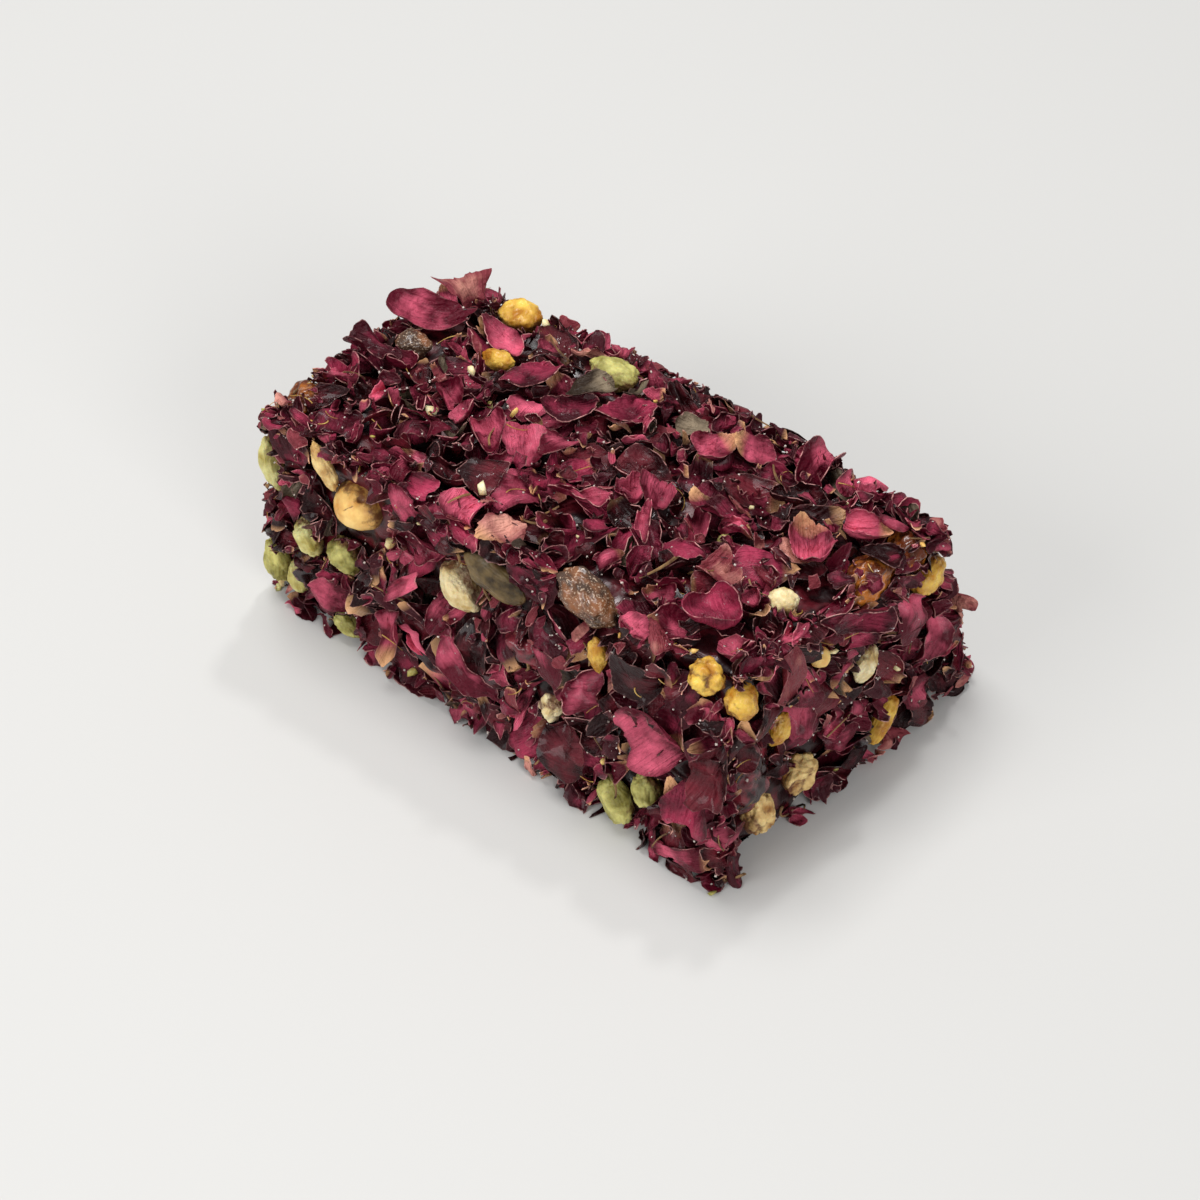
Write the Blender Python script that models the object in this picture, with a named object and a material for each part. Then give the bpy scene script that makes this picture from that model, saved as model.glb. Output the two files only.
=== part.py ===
"""Rose turkish delight: one hand-cut brick of dark gel, clad in dried rose petals, with nuts and seeds set in it.

The brick lies on its flat base, which is at z = 0, with the origin near the middle of that base. Its length is
along X and its height along Z. The long side at -Y is the front and the short side at +X is the cut end.
"""

import math
import random

import bmesh
import bpy
from mathutils import Euler, Matrix, Vector, noise

MM = 0.001

# The brick's eight corners: it was cut by eye, so it widens towards the cut end and is higher along the front.
BASE_FRONT_LEFT = Vector((-40.3, -21.2, 0.0)) * MM
BASE_BACK_LEFT = Vector((-35.8, 17.2, 0.0)) * MM
BASE_BACK_RIGHT = Vector((43.6, 26.4, 0.0)) * MM
BASE_FRONT_RIGHT = Vector((37.5, -24.2, 0.0)) * MM
TOP_FRONT_LEFT = Vector((-39.0, -20.6, 36.0)) * MM
TOP_BACK_LEFT = Vector((-35.4, 16.8, 32.8)) * MM
TOP_BACK_RIGHT = Vector((39.2, 21.3, 31.3)) * MM
TOP_FRONT_RIGHT = Vector((35.7, -18.9, 36.5)) * MM

# The squared-up brick that places are given on, before it is drawn out to those corners.
HALF = Vector((38.0, 20.0, 17.5)) * MM
EDGE_RADIUS = 3.2 * MM
BACK_BELLY = 1.8 * MM  # how far the back side bulges at the middle of its length
FOOT = 1.5 * MM  # how far the gel runs below the base before the base is cut flat

GEL_DEPTH = 1.5 * MM  # the gel's surface lies this far under the skin, which the petals reach
GEL_RELIEF = 0.8 * MM
GEL_LUMP = 9.0 * MM  # distance from one lump of the gel's surface to the next
GEL_CUTS = (10, 5, 4)  # cuts along the length, the width and the height

PETAL_SEED = 11
PETAL_POINTS = 8
PETAL_THICKNESS = 0.9 * MM
PETAL_DEPTH = 1.1 * MM  # how far a petal's middle lies under the skin
PETAL_RAGGED = 0.17
PETAL_TAPER = 0.16  # how much narrower a petal is where it was joined to the flower
PETAL_CUP = (-0.5 * MM, 0.6 * MM)
PETAL_RISE = (0.2 * MM, 1.9 * MM)  # how far a petal's raised end stands over its middle
PETAL_TRIES = 24  # places drawn for each petal, of which the emptiest is taken
PETAL_SIZES = (  # how many, shortest, longest
    (19, 10.5 * MM, 13.0 * MM),
    (45, 8.0 * MM, 10.5 * MM),
    (13, 6.0 * MM, 8.0 * MM),
)
SIDE_SHARES = {"top": 76, "front": 68, "back": 68, "end": 42, "left": 36}
GAP = 0.3 * MM  # clear space between a nut and the pocket it sits in
NUT_LEVEL = 2
NUT_LUMPS = 1.7
SEED_WAIST = 0.2  # how far a seed is drawn in at its middle, where its two halves meet

# Each petal that stands out: side, place along it and across it or up from its middle, length, width, turn in
# degrees, and how far its end is raised.
MARKED_PETALS = (
    ("top", (-8.7, -3.8), (8.0, 6.5), 138, 1.6),
    ("top", (-8.0, -11.9), (8.5, 6.0), 14, 0.5),
    ("top", (-5.7, -18.7), (8.0, 6.5), 92, 2.6),
    ("top", (0.5, -17.5), (7.0, 6.0), 77, 2.8),
    ("top", (3.3, -7.2), (8.5, 4.5), 22, 1.0),
    ("top", (-3.9, 9.0), (9.0, 6.0), 65, 0.6),
    ("top", (8.8, 10.2), (7.5, 5.0), -113, 1.6),
    ("top", (27.9, -12.7), (11.5, 10.0), 153, 2.2),
    ("top", (27.8, -17.5), (9.0, 6.0), 25, 1.0),
    ("top", (21.0, -19.8), (8.5, 6.5), -130, 2.2),
    ("top", (28.2, 4.4), (9.5, 7.0), -49, 1.8),
    ("top", (31.7, 11.0), (8.0, 6.5), -145, 1.4),
    ("top", (13.7, 17.6), (7.5, 6.0), 110, 1.8),
    ("top", (-13.7, 19.6), (7.5, 5.0), -15, 3.0),
    ("top", (-34.6, -1.2), (9.5, 5.5), 198, 3.4),
    ("top", (-33.0, 9.6), (11.5, 5.5), 216, 2.6),
    ("top", (-34.4, 16.4), (8.0, 6.5), 161, 3.4),
    ("front", (26.7, 2.1), (12.0, 10.5), 236, 1.9),
    ("front", (32.7, -5.3), (7.5, 7.0), 275, 1.2),
    ("front", (-30.2, 12.0), (8.7, 4.8), 101, 1.2),
    ("front", (-14.5, -8.6), (9.0, 4.5), 96, 1.2),
    ("front", (-12.3, 1.4), (8.0, 4.8), 50, 1.6),
    ("front", (-2.1, -6.2), (11.5, 4.8), 148, 1.0),
    ("top", (-20.5, 19.4), (7.5, 5.5), 40, 2.8),
    ("front", (28.6, -15.4), (8.0, 5.5), 15, 1.9),
    ("front", (12.8, -15.6), (8.0, 5.0), 165, 1.7),
    ("front", (-33.5, -15.0), (8.0, 5.5), -20, 1.8),
    ("left", (-18.5, -4.0), (9.0, 5.5), 80, 1.8),
    ("end", (19.4, -12.0), (9.0, 5.5), -80, 2.6),
    ("end", (18.6, -1.0), (11.0, 5.5), 92, 3.2),
    ("end", (12.9, -2.5), (8.0, 5.5), 60, 1.6),
    ("end", (-10.8, 10.0), (8.5, 5.5), 92, 1.0),
    ("end", (0.8, 12.6), (10.0, 5.0), -26, 0.8),
)

# Each nut, seed or lump of clear gel: name, kind, side, place along it and across or up it from its middle, how
# deep its own middle lies, size along X, Y and Z, turn about X, Y and Z, and how many sides are broken off flat.
PIECES = (
    ("hazelnut", "toasted", "front", (-22.2, 7.6), 2.3, (6.8, 6.2, 6.6), (0, 0, 0), 0),
    ("almond_sliver", "pale", "front", (-26.8, 12.6), 0.8, (2.4, 2.2, 7.6), (0, -26, 0), 1),
    ("pistachio_left", "green", "front", (-24.2, -2.5), 1.5, (5.8, 4.2, 4.2), (0, 34, 0), 1),
    ("pistachio_left_slim", "yellow", "front", (-30.2, -3.1), 1.2, (3.2, 3.6, 6.2), (0, -27, 0), 1),
    ("pistachio_left_low", "yellow", "front", (-31.8, -11.9), 1.2, (3.0, 3.6, 5.0), (0, -20, 0), 2),
    ("pistachio_edge_high", "yellow", "front", (-37.4, 6.8), 1.2, (3.4, 4.0, 9.0), (0, -8, 0), 1),
    ("pistachio_edge_low", "green", "front", (-37.4, -12.4), 1.2, (3.4, 4.0, 7.6), (0, -14, 0), 1),
    ("pistachio_base", "green", "front", (-23.4, -15.2), 1.2, (4.4, 3.2, 2.6), (0, 20, 0), 1),
    ("almond_front", "pale", "front", (-5.2, 4.6), 1.9, (5.6, 5.2, 7.4), (0, -40, 0), 3),
    ("pumpkin_seed", "seed", "front", (0.6, 10.6), 0.9, (9.0, 2.6, 5.4), (-14, 14, 0), 0),
    ("gel_lump", "gel", "front", (13.8, 15.6), 1.9, (9.4, 5.4, 6.0), (0, 26, 0), 0),
    ("pistachio_sliver", "yellow", "front", (17.0, 8.0), 0.9, (2.8, 2.6, 5.8), (0, -12, 0), 2),
    ("nut_corner_high", "toasted", "front", (32.4, 14.4), 1.1, (5.2, 4.6, 5.0), (0, 15, 0), 1),
    ("nut_corner_low", "yellow", "end", (-17.6, 12.0), 1.4, (4.4, 4.8, 4.4), (0, -10, 20), 1),
    ("walnut_near", "pale", "end", (-12.4, -11.4), 1.8, (4.6, 4.8, 8.8), (8, 0, 0), 3),
    ("walnut_far", "pale", "end", (-6.2, -10.2), 1.7, (4.4, 5.8, 6.6), (-30, 0, 0), 3),
    ("pistachio_low", "green", "front", (25.4, -9.6), 1.3, (4.2, 3.8, 5.0), (0, -14, 0), 1),
    ("pistachio_foot", "green", "front", (21.4, -13.6), 0.7, (4.4, 4.4, 7.0), (0, -28, 0), 1),
    ("almond_chip", "pale", "front", (10.6, -5.3), 1.0, (4.2, 3.4, 5.2), (0, 12, 0), 3),
    ("nut_top", "yellow", "top", (-27.0, 17.6), 1.5, (6.0, 5.0, 4.4), (0, 0, 15), 1),
    ("pistachio_top_small", "yellow", "top", (-22.6, 7.6), 0.9, (4.6, 2.8, 2.8), (0, 0, 20), 1),
    ("pistachio_top", "green", "top", (-10.6, 15.0), 1.5, (7.0, 4.4, 4.2), (0, 0, 10), 2),
    ("almond_top", "pale", "top", (31.6, -4.8), 1.3, (4.2, 3.6, 3.6), (0, 0, 30), 3),
    ("amber_chunk", "gel", "top", (-32.6, 3.6), 1.2, (5.2, 4.2, 3.6), (0, 0, 30), 1),
    ("pistachio_end", "yellow", "end", (15.2, 9.3), 1.3, (4.4, 6.4, 5.0), (0, 0, 0), 1),
    ("almond_end", "pale", "end", (3.6, 1.5), 1.2, (3.4, 5.6, 3.6), (20, 0, 0), 2),
    ("nut_end_round", "toasted", "end", (-4.6, 10.3), 0.7, (2.6, 2.6, 2.6), (0, 0, 0), 0),
    ("nut_end_slim", "yellow", "end", (5.4, -12.2), 0.9, (3.2, 2.6, 7.8), (-50, 0, 0), 2),
    ("nut_end_chip", "yellow", "end", (-11.0, 2.7), 0.9, (2.8, 3.2, 4.8), (-25, 0, 0), 2),
    ("hazelnut_back", "toasted", "back", (6.5, 1.0), 1.9, (7.0, 6.0, 6.6), (0, 0, 0), 0),
    ("pistachio_back_a", "green", "back", (-20.0, 5.0), 1.3, (5.6, 4.2, 5.0), (0, 30, 0), 1),
    ("pistachio_back_b", "yellow", "back", (23.0, -8.0), 1.3, (4.6, 4.0, 6.6), (0, -20, 0), 2),
    ("almond_back", "pale", "back", (-6.5, -8.6), 1.5, (6.4, 4.6, 5.4), (0, 12, 0), 3),
    ("pistachio_left_side", "green", "left", (-3.0, 2.5), 1.6, (4.0, 5.4, 4.8), (20, 0, 0), 1),
    ("nut_left_side", "toasted", "left", (11.0, -6.5), 1.4, (4.8, 5.6, 5.4), (0, 0, 0), 2),
)

COLOURS = {  # red, green, blue and roughness
    "petals": (0.16, 0.022, 0.045, 0.55),
    "toasted": (0.58, 0.30, 0.09, 0.45),
    "yellow": (0.60, 0.42, 0.12, 0.5),
    "green": (0.34, 0.33, 0.08, 0.5),
    "pale": (0.62, 0.44, 0.22, 0.5),
    "seed": (0.08, 0.08, 0.035, 0.4),
    "gel": (0.16, 0.035, 0.02, 0.2),
}

# Each side of the brick: the axis it faces along, and which way.
SIDES = {"top": (2, 1), "front": (1, -1), "back": (1, 1), "end": (0, 1), "left": (0, -1)}


def skin(point, depth):
    """The place on the brick for a point of the squared-up brick's outside, that depth under its skin."""
    inner = Vector(max(-h + EDGE_RADIUS, min(h - EDGE_RADIUS, p)) for p, h in zip(point, HALF))
    inner.z = min(HALF.z - EDGE_RADIUS, point.z)  # the base's edges stay square
    point = inner + (point - inner).normalized() * (EDGE_RADIUS - depth)
    x, y, z = (p / h / 2 + 0.5 for p, h in zip(point, HALF))
    front = BASE_FRONT_LEFT.lerp(BASE_FRONT_RIGHT, x).lerp(TOP_FRONT_LEFT.lerp(TOP_FRONT_RIGHT, x), z)
    back = BASE_BACK_LEFT.lerp(BASE_BACK_RIGHT, x).lerp(TOP_BACK_LEFT.lerp(TOP_BACK_RIGHT, x), z)
    place = front.lerp(back, y)
    place.y += BACK_BELLY * y * 4 * x * (1 - x)
    return place


def side_place(side, along, up, depth):
    """The place that far along a side and across or up it from its middle, carried on round the side's edges."""
    axis, way = SIDES[side]
    point = [along, up]
    point.insert(axis, way * HALF[axis])
    for other in range(3):
        past = abs(point[other]) - HALF[other]
        below_base = other == 2 and point[other] < 0
        if other != axis and past > 0 and not below_base:
            point[other] = math.copysign(HALF[other], point[other])
            point[axis] -= way * past
    return skin(Vector(point), depth)


def material(kind):
    red, green, blue, roughness = COLOURS[kind]
    made = bpy.data.materials.new(kind)
    made.use_nodes = True
    shader = made.node_tree.nodes["Principled BSDF"]
    shader.inputs["Base Color"].default_value = (red, green, blue, 1)
    shader.inputs["Roughness"].default_value = roughness
    return made


def add_object(name, shape, kind, collection):
    mesh = bpy.data.meshes.new(name)
    shape.to_mesh(mesh)
    shape.free()
    mesh.materials.append(bpy.data.materials.get(kind) or material(kind))
    made = bpy.data.objects.new(name, mesh)
    collection.objects.link(made)
    return made


def gel_shape():
    """The gel: a cube cut into a grid, drawn out to just under the brick's skin and lumpy."""
    shape = bmesh.new()
    bmesh.ops.create_cube(shape, size=2)
    for axis, cuts in enumerate(GEL_CUTS):
        along = [e for e in shape.edges if abs((e.verts[0].co - e.verts[1].co)[axis]) > 1]
        bmesh.ops.subdivide_edges(shape, edges=along, cuts=cuts, use_grid_fill=True)
    for vert in shape.verts:
        point = Vector(c * h for c, h in zip(vert.co, HALF))
        lump = noise.noise(point / GEL_LUMP)
        vert.co = skin(point, GEL_DEPTH + GEL_RELIEF * lump)
        if point.z < MM - HALF.z:
            vert.co.z = -FOOT
    bmesh.ops.triangulate(shape, faces=shape.faces)
    return shape


def petal_shape(rng, side, middle, size, turn, rise):
    """A ragged petal laid on one side: two faces split alike and joined round the rim, one end raised."""
    shape = bmesh.new()
    length, width = size
    cup = rng.uniform(*PETAL_CUP)
    rim = []
    for i in range(PETAL_POINTS):
        angle = math.tau * i / PETAL_POINTS
        reach = 1 + rng.uniform(-PETAL_RAGGED, PETAL_RAGGED)
        across = math.cos(angle) * reach
        aside = math.sin(angle) * reach * (1 - PETAL_TAPER + PETAL_TAPER * across)
        rim.append((across, aside))

    def vert(across, aside, height):
        x, y = across * length / 2, aside * width / 2
        along = middle[0] + x * math.cos(turn) - y * math.sin(turn)
        up = middle[1] + x * math.sin(turn) + y * math.cos(turn)
        raised = rise * across + cup * (across * across + aside * aside) + height
        return shape.verts.new(side_place(side, along, up, PETAL_DEPTH - raised))

    half = PETAL_THICKNESS / 2
    top, bottom = vert(0, 0, half), vert(0, 0, -half)
    top_rim = [vert(*point, half * 0.7) for point in rim]
    bottom_rim = [vert(*point, -half * 0.7) for point in rim]
    for i in range(PETAL_POINTS):
        j = (i + 1) % PETAL_POINTS
        shape.faces.new((top, top_rim[i], top_rim[j]))
        shape.faces.new((bottom, bottom_rim[j], bottom_rim[i]))
        shape.faces.new((top_rim[i], bottom_rim[i], bottom_rim[j]))
        shape.faces.new((top_rim[i], bottom_rim[j], top_rim[j]))
    bmesh.ops.recalc_face_normals(shape, faces=shape.faces)
    return shape


def marked_petals(rng, collection):
    """The petals that stand out, each in its own place."""
    places = []
    for number, (side, (along, up), (length, width), turn, rise) in enumerate(MARKED_PETALS):
        middle = (along * MM, up * MM)
        shape = petal_shape(rng, side, middle, (length * MM, width * MM), math.radians(turn), rise * MM)
        add_object(f"marked_petal_{number}", shape, "petals", collection)
        places.append(side_place(side, *middle, 0))
    return places


def drawn_spot(rng):
    """A place drawn anywhere on the sides, as its side, its distances from the side's middle and its point."""
    side = rng.choices(list(SIDE_SHARES), list(SIDE_SHARES.values()))[0]
    along_half, up_half = (HALF[i] for i in range(3) if i != SIDES[side][0])
    middle = (rng.uniform(-along_half, along_half), rng.uniform(-up_half, up_half))
    return side, middle, side_place(side, *middle, 0)


def scattered_petals(rng, collection, places):
    """The other petals, largest first, each at the emptiest of several drawn places."""
    number = 0
    for count, shortest, longest in PETAL_SIZES:
        for _ in range(count):
            spots = [drawn_spot(rng) for _ in range(PETAL_TRIES)]
            side, middle, place = max(spots, key=lambda spot: min((spot[2] - p).length for p in places))
            length = rng.uniform(shortest, longest)
            size = (length, length * rng.uniform(0.55, 0.85))
            shape = petal_shape(rng, side, middle, size, rng.uniform(0, math.tau), rng.uniform(*PETAL_RISE))
            add_object(f"petal_{number}", shape, "petals", collection)
            places.append(place)
            number += 1


def piece_shape(name, kind, middle, size, turn, broken, grown=0.0):
    """A nut, seed or lump: a ball drawn out to its size, lumpy, with some sides broken off flat."""
    rng = random.Random(name)
    shape = bmesh.new()
    bmesh.ops.create_icosphere(shape, subdivisions=NUT_LEVEL, radius=1)
    breaks = []
    for _ in range(broken):
        way = Vector((rng.gauss(0, 1), rng.gauss(0, 1), rng.gauss(0, 1))).normalized()
        breaks.append((way, rng.uniform(0.62, 0.8)))
    own_place = Vector((rng.uniform(0, 50), rng.uniform(0, 50), rng.uniform(0, 50)))
    half = Vector(size) * MM / 2
    for vert in shape.verts:
        lumpy = 1 + 0.1 * noise.noise(vert.co * NUT_LUMPS + own_place)
        vert.co *= lumpy
        for way, reach in breaks:
            past = vert.co.dot(way) - reach
            if past > 0:
                vert.co -= way * past * 0.9
        if kind == "seed":
            vert.co.z *= 1 - SEED_WAIST * math.exp(-((vert.co.x / 0.3) ** 2))
        vert.co = Vector(c * (h + grown) for c, h in zip(vert.co, half))
    rotation = Euler([math.radians(t) for t in turn]).to_matrix().to_4x4()
    shape.transform(Matrix.Translation(middle) @ rotation)
    return shape


def joined(obj, operation, collection, solver):
    """Applies one Boolean with everything in the collection, and removes those objects."""
    step = obj.modifiers.new(collection.name, "BOOLEAN")
    step.operation = operation
    step.operand_type = "COLLECTION"
    step.collection = collection
    step.solver = solver
    graph = bpy.context.evaluated_depsgraph_get()
    mesh = bpy.data.meshes.new_from_object(obj.evaluated_get(graph))
    obj.modifiers.clear()
    obj.data = mesh
    for used in list(collection.objects):
        bpy.data.objects.remove(used)


def keep_largest(obj):
    """Drops scraps that touch nothing, and the walls of hollows that the petals closed, which fills those."""
    shape = bmesh.new()
    shape.from_mesh(obj.data)
    left = set(shape.verts)
    groups = []
    while left:
        group = set()
        edge = [left.pop()]
        while edge:
            vert = edge.pop()
            group.add(vert)
            for link in vert.link_edges:
                other = link.other_vert(vert)
                if other in left:
                    left.remove(other)
                    edge.append(other)
        groups.append(group)
    groups.sort(key=len)
    for group in groups[:-1]:
        bmesh.ops.delete(shape, geom=list(group), context="VERTS")
    bmesh.ops.triangulate(shape, faces=shape.faces)
    shape.to_mesh(obj.data)
    shape.free()


def base_cutter(collection):
    """A block under the base, which cuts it flat."""
    shape = bmesh.new()
    bmesh.ops.create_cube(shape, size=1)
    block = Vector((HALF.x * 4, HALF.y * 4, HALF.z))
    shape.transform(Matrix.Translation((0, 0, -HALF.z / 2)) @ Matrix.Diagonal(block).to_4x4())
    return add_object("base_cutter", shape, "petals", collection)


def build():
    for old in list(bpy.data.objects):
        bpy.data.objects.remove(old)
    scene = bpy.context.scene.collection
    petals = bpy.data.collections.new("petals")
    pockets = bpy.data.collections.new("pockets")
    scene.children.link(petals)
    scene.children.link(pockets)

    brick = add_object("rose_petal_brick", gel_shape(), "petals", scene)
    rng = random.Random(PETAL_SEED)
    places = marked_petals(rng, petals)
    scattered_petals(rng, petals, places)
    joined(brick, "UNION", petals, "MANIFOLD")

    base_cutter(pockets)
    for name, kind, side, (along, up), depth, *form in PIECES:
        middle = side_place(side, along * MM, up * MM, depth * MM)
        add_object(name, piece_shape(name, kind, middle, *form), kind, scene)
        add_object(f"pocket_{name}", piece_shape(name, kind, middle, *form, GAP), kind, pockets)
    joined(brick, "DIFFERENCE", pockets, "MANIFOLD")
    keep_largest(brick)
    for collection in (petals, pockets):
        bpy.data.collections.remove(collection)


build()
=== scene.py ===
"""Looks of a hand-cut brick of rose turkish delight: dark gel clad in dried petals and set with nuts.

The brick lies on z = 0 with its length along X.
The front is its long side at -Y, and the cut end is its short side at +X.
"""

import math
import random

import bpy
import numpy as np
from bpy.props import FloatProperty, FloatVectorProperty, IntProperty, PointerProperty
from mathutils import Euler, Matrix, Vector, noise


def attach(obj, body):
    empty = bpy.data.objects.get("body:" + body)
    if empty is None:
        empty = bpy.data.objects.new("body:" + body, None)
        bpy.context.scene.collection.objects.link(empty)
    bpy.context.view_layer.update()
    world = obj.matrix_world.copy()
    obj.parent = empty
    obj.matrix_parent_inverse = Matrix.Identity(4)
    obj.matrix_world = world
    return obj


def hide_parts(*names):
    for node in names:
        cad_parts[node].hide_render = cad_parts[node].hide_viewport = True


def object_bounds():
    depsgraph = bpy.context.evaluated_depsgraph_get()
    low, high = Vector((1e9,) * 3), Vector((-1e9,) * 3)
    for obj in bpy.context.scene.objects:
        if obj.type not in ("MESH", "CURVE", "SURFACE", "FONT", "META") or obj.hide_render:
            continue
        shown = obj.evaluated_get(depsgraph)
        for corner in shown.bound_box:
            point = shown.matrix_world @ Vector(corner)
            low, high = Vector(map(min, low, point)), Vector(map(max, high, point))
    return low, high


bl_info = {
    "name": "Rose Turkish Delight",
    "version": (1, 0, 0),
    "blender": (4, 5, 0),
    "location": "3D View > Sidebar > Delight",
    "description": "Builds a brick of rose turkish delight, clad in dried petals and set with nuts",
    "category": "Add Mesh",
}

MM = 0.001

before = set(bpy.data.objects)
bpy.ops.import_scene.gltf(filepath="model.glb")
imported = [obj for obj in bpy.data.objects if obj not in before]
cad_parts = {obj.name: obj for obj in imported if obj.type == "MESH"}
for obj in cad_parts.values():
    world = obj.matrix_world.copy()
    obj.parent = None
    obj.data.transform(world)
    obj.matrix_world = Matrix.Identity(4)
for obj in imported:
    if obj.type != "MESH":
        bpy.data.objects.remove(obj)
CAD_BOX = [list(corner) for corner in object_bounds()]

# The brick's corners, and the squared-up brick that places are given on before it is drawn out to them
BASE_FRONT_LEFT = np.array([-40.3, -21.2, 0.0]) * MM
BASE_BACK_LEFT = np.array([-35.8, 17.2, 0.0]) * MM
BASE_BACK_RIGHT = np.array([43.6, 26.4, 0.0]) * MM
BASE_FRONT_RIGHT = np.array([37.5, -24.2, 0.0]) * MM
TOP_FRONT_LEFT = np.array([-39.0, -20.6, 36.0]) * MM
TOP_BACK_LEFT = np.array([-35.4, 16.8, 32.8]) * MM
TOP_BACK_RIGHT = np.array([39.2, 21.3, 31.3]) * MM
TOP_FRONT_RIGHT = np.array([35.7, -18.9, 36.5]) * MM
HALF = np.array([38.0, 20.0, 17.5]) * MM
EDGE_RADIUS = 3.2 * MM
BACK_BELLY = 1.8 * MM

# Each side of the brick: the axis it faces along, which way, and whether the directions along the side, up it
# and outwards are right-handed
SIDES = {
    "top": (2, 1, True),
    "front": (1, -1, True),
    "back": (1, 1, False),
    "end": (0, 1, True),
    "left": (0, -1, False),
}

# Each nut, seed or lump of clear gel: node, kind, side, place along it and across or up it from its middle,
# how deep its middle lies, size along X, Y and Z, turn about X, Y and Z, and how many sides are broken off
KERNELS = (
    ("hazelnut", "toasted", "front", (-22.2, 7.6), 2.3, (6.8, 6.2, 6.6), (0, 0, 0), 0),
    ("almond_sliver", "walnut", "front", (-26.8, 12.6), 0.8, (2.4, 2.2, 7.6), (0, -26, 0), 1),
    ("pistachio_left", "green", "front", (-24.2, -2.5), 1.5, (5.8, 4.2, 4.2), (0, 34, 0), 1),
    ("pistachio_left_slim", "yellow", "front", (-30.2, -3.1), 1.2, (3.2, 3.6, 6.2), (0, -27, 0), 1),
    ("pistachio_left_low", "yellow", "front", (-31.8, -11.9), 1.2, (3.0, 3.6, 5.0), (0, -20, 0), 2),
    ("pistachio_edge_high", "yellow", "front", (-37.4, 6.8), 1.2, (3.4, 4.0, 9.0), (0, -8, 0), 1),
    ("pistachio_edge_low", "green", "front", (-37.4, -12.4), 1.2, (3.4, 4.0, 7.6), (0, -14, 0), 1),
    ("pistachio_base", "green", "front", (-23.4, -15.2), 1.2, (4.4, 3.2, 2.6), (0, 20, 0), 1),
    ("almond_front", "pale", "front", (-5.2, 4.6), 1.9, (5.6, 5.2, 7.4), (0, -40, 0), 3),
    ("pumpkin_seed", "seed", "front", (0.6, 10.6), 0.9, (9.0, 2.6, 5.4), (-14, 14, 0), 0),
    ("gel_lump", "gel", "front", (13.8, 15.6), 1.9, (9.4, 5.4, 6.0), (0, 26, 0), 0),
    ("pistachio_sliver", "golden", "front", (17.0, 8.0), 0.9, (2.8, 2.6, 5.8), (0, -12, 0), 2),
    ("nut_corner_high", "golden", "front", (32.4, 14.4), 1.1, (5.2, 4.6, 5.0), (0, 15, 0), 1),
    ("nut_corner_low", "golden", "end", (-17.6, 12.0), 1.4, (4.4, 4.8, 4.4), (0, -10, 20), 1),
    ("walnut_near", "walnut", "end", (-12.4, -11.4), 1.8, (4.6, 4.8, 8.8), (8, 0, 0), 3),
    ("walnut_far", "walnut", "end", (-6.2, -10.2), 1.7, (4.4, 5.8, 6.6), (-30, 0, 0), 3),
    ("pistachio_low", "green", "front", (25.4, -9.6), 1.3, (4.2, 3.8, 5.0), (0, -14, 0), 1),
    ("pistachio_foot", "green", "front", (21.4, -13.6), 0.7, (4.4, 4.4, 7.0), (0, -28, 0), 1),
    ("almond_chip", "pale", "front", (10.6, -5.3), 1.0, (4.2, 3.4, 5.2), (0, 12, 0), 3),
    ("nut_top", "golden", "top", (-27.0, 17.6), 1.5, (6.0, 5.0, 4.4), (0, 0, 15), 1),
    ("pistachio_top_small", "golden", "top", (-22.6, 7.6), 0.9, (4.6, 2.8, 2.8), (0, 0, 20), 1),
    ("pistachio_top", "green", "top", (-10.6, 15.0), 1.5, (7.0, 4.4, 4.2), (0, 0, 10), 2),
    ("almond_top", "pale", "top", (31.6, -4.8), 1.3, (4.2, 3.6, 3.6), (0, 0, 30), 3),
    ("amber_chunk", "gel", "top", (-32.6, 3.6), 1.2, (5.2, 4.2, 3.6), (0, 0, 30), 1),
    ("pistachio_end", "golden", "end", (15.2, 9.3), 1.3, (4.4, 6.4, 5.0), (0, 0, 0), 1),
    ("almond_end", "pale", "end", (3.6, 1.5), 1.2, (3.4, 5.6, 3.6), (20, 0, 0), 2),
    ("nut_end_round", "toasted", "end", (-4.6, 10.3), 0.7, (2.6, 2.6, 2.6), (0, 0, 0), 0),
    ("nut_end_slim", "golden", "end", (5.4, -12.2), 0.9, (3.2, 2.6, 7.8), (-50, 0, 0), 2),
    ("nut_end_chip", "golden", "end", (-11.0, 2.7), 0.9, (2.8, 3.2, 4.8), (-25, 0, 0), 2),
    ("hazelnut_back", "toasted", "back", (6.5, 1.0), 1.9, (7.0, 6.0, 6.6), (0, 0, 0), 0),
    ("pistachio_back_a", "green", "back", (-20.0, 5.0), 1.3, (5.6, 4.2, 5.0), (0, 30, 0), 1),
    ("pistachio_back_b", "yellow", "back", (23.0, -8.0), 1.3, (4.6, 4.0, 6.6), (0, -20, 0), 2),
    ("almond_back", "pale", "back", (-6.5, -8.6), 1.5, (6.4, 4.6, 5.4), (0, 12, 0), 3),
    ("pistachio_left_side", "green", "left", (-3.0, 2.5), 1.6, (4.0, 5.4, 4.8), (20, 0, 0), 1),
    ("nut_left_side", "toasted", "left", (11.0, -6.5), 1.4, (4.8, 5.6, 5.4), (0, 0, 0), 2),
)
KERNEL_LUMPS = (0.1, 1 / 1.7)  # how strongly a kernel is misshapen, and over how much of its half size
BROKEN_AT = (0.62, 0.8)  # where a side is broken off, as a share of the way out from its middle
SEED_WAIST = (0.2, 0.3)  # how far a pumpkin seed is drawn in at its middle, and over what share of its size
NOT_TURNED = (0, 0, 0)

# How far loose petals keep away from some kernels and from the others, as the square of a share of their size
CLEARED = {
    "hazelnut": 3.2,
    "walnut_near": 2.2,
    "walnut_far": 2.0,
    "nut_corner_high": 1.7,
    "almond_front": 1.7,
}
CLEARED_ELSE = 1.25
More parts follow.
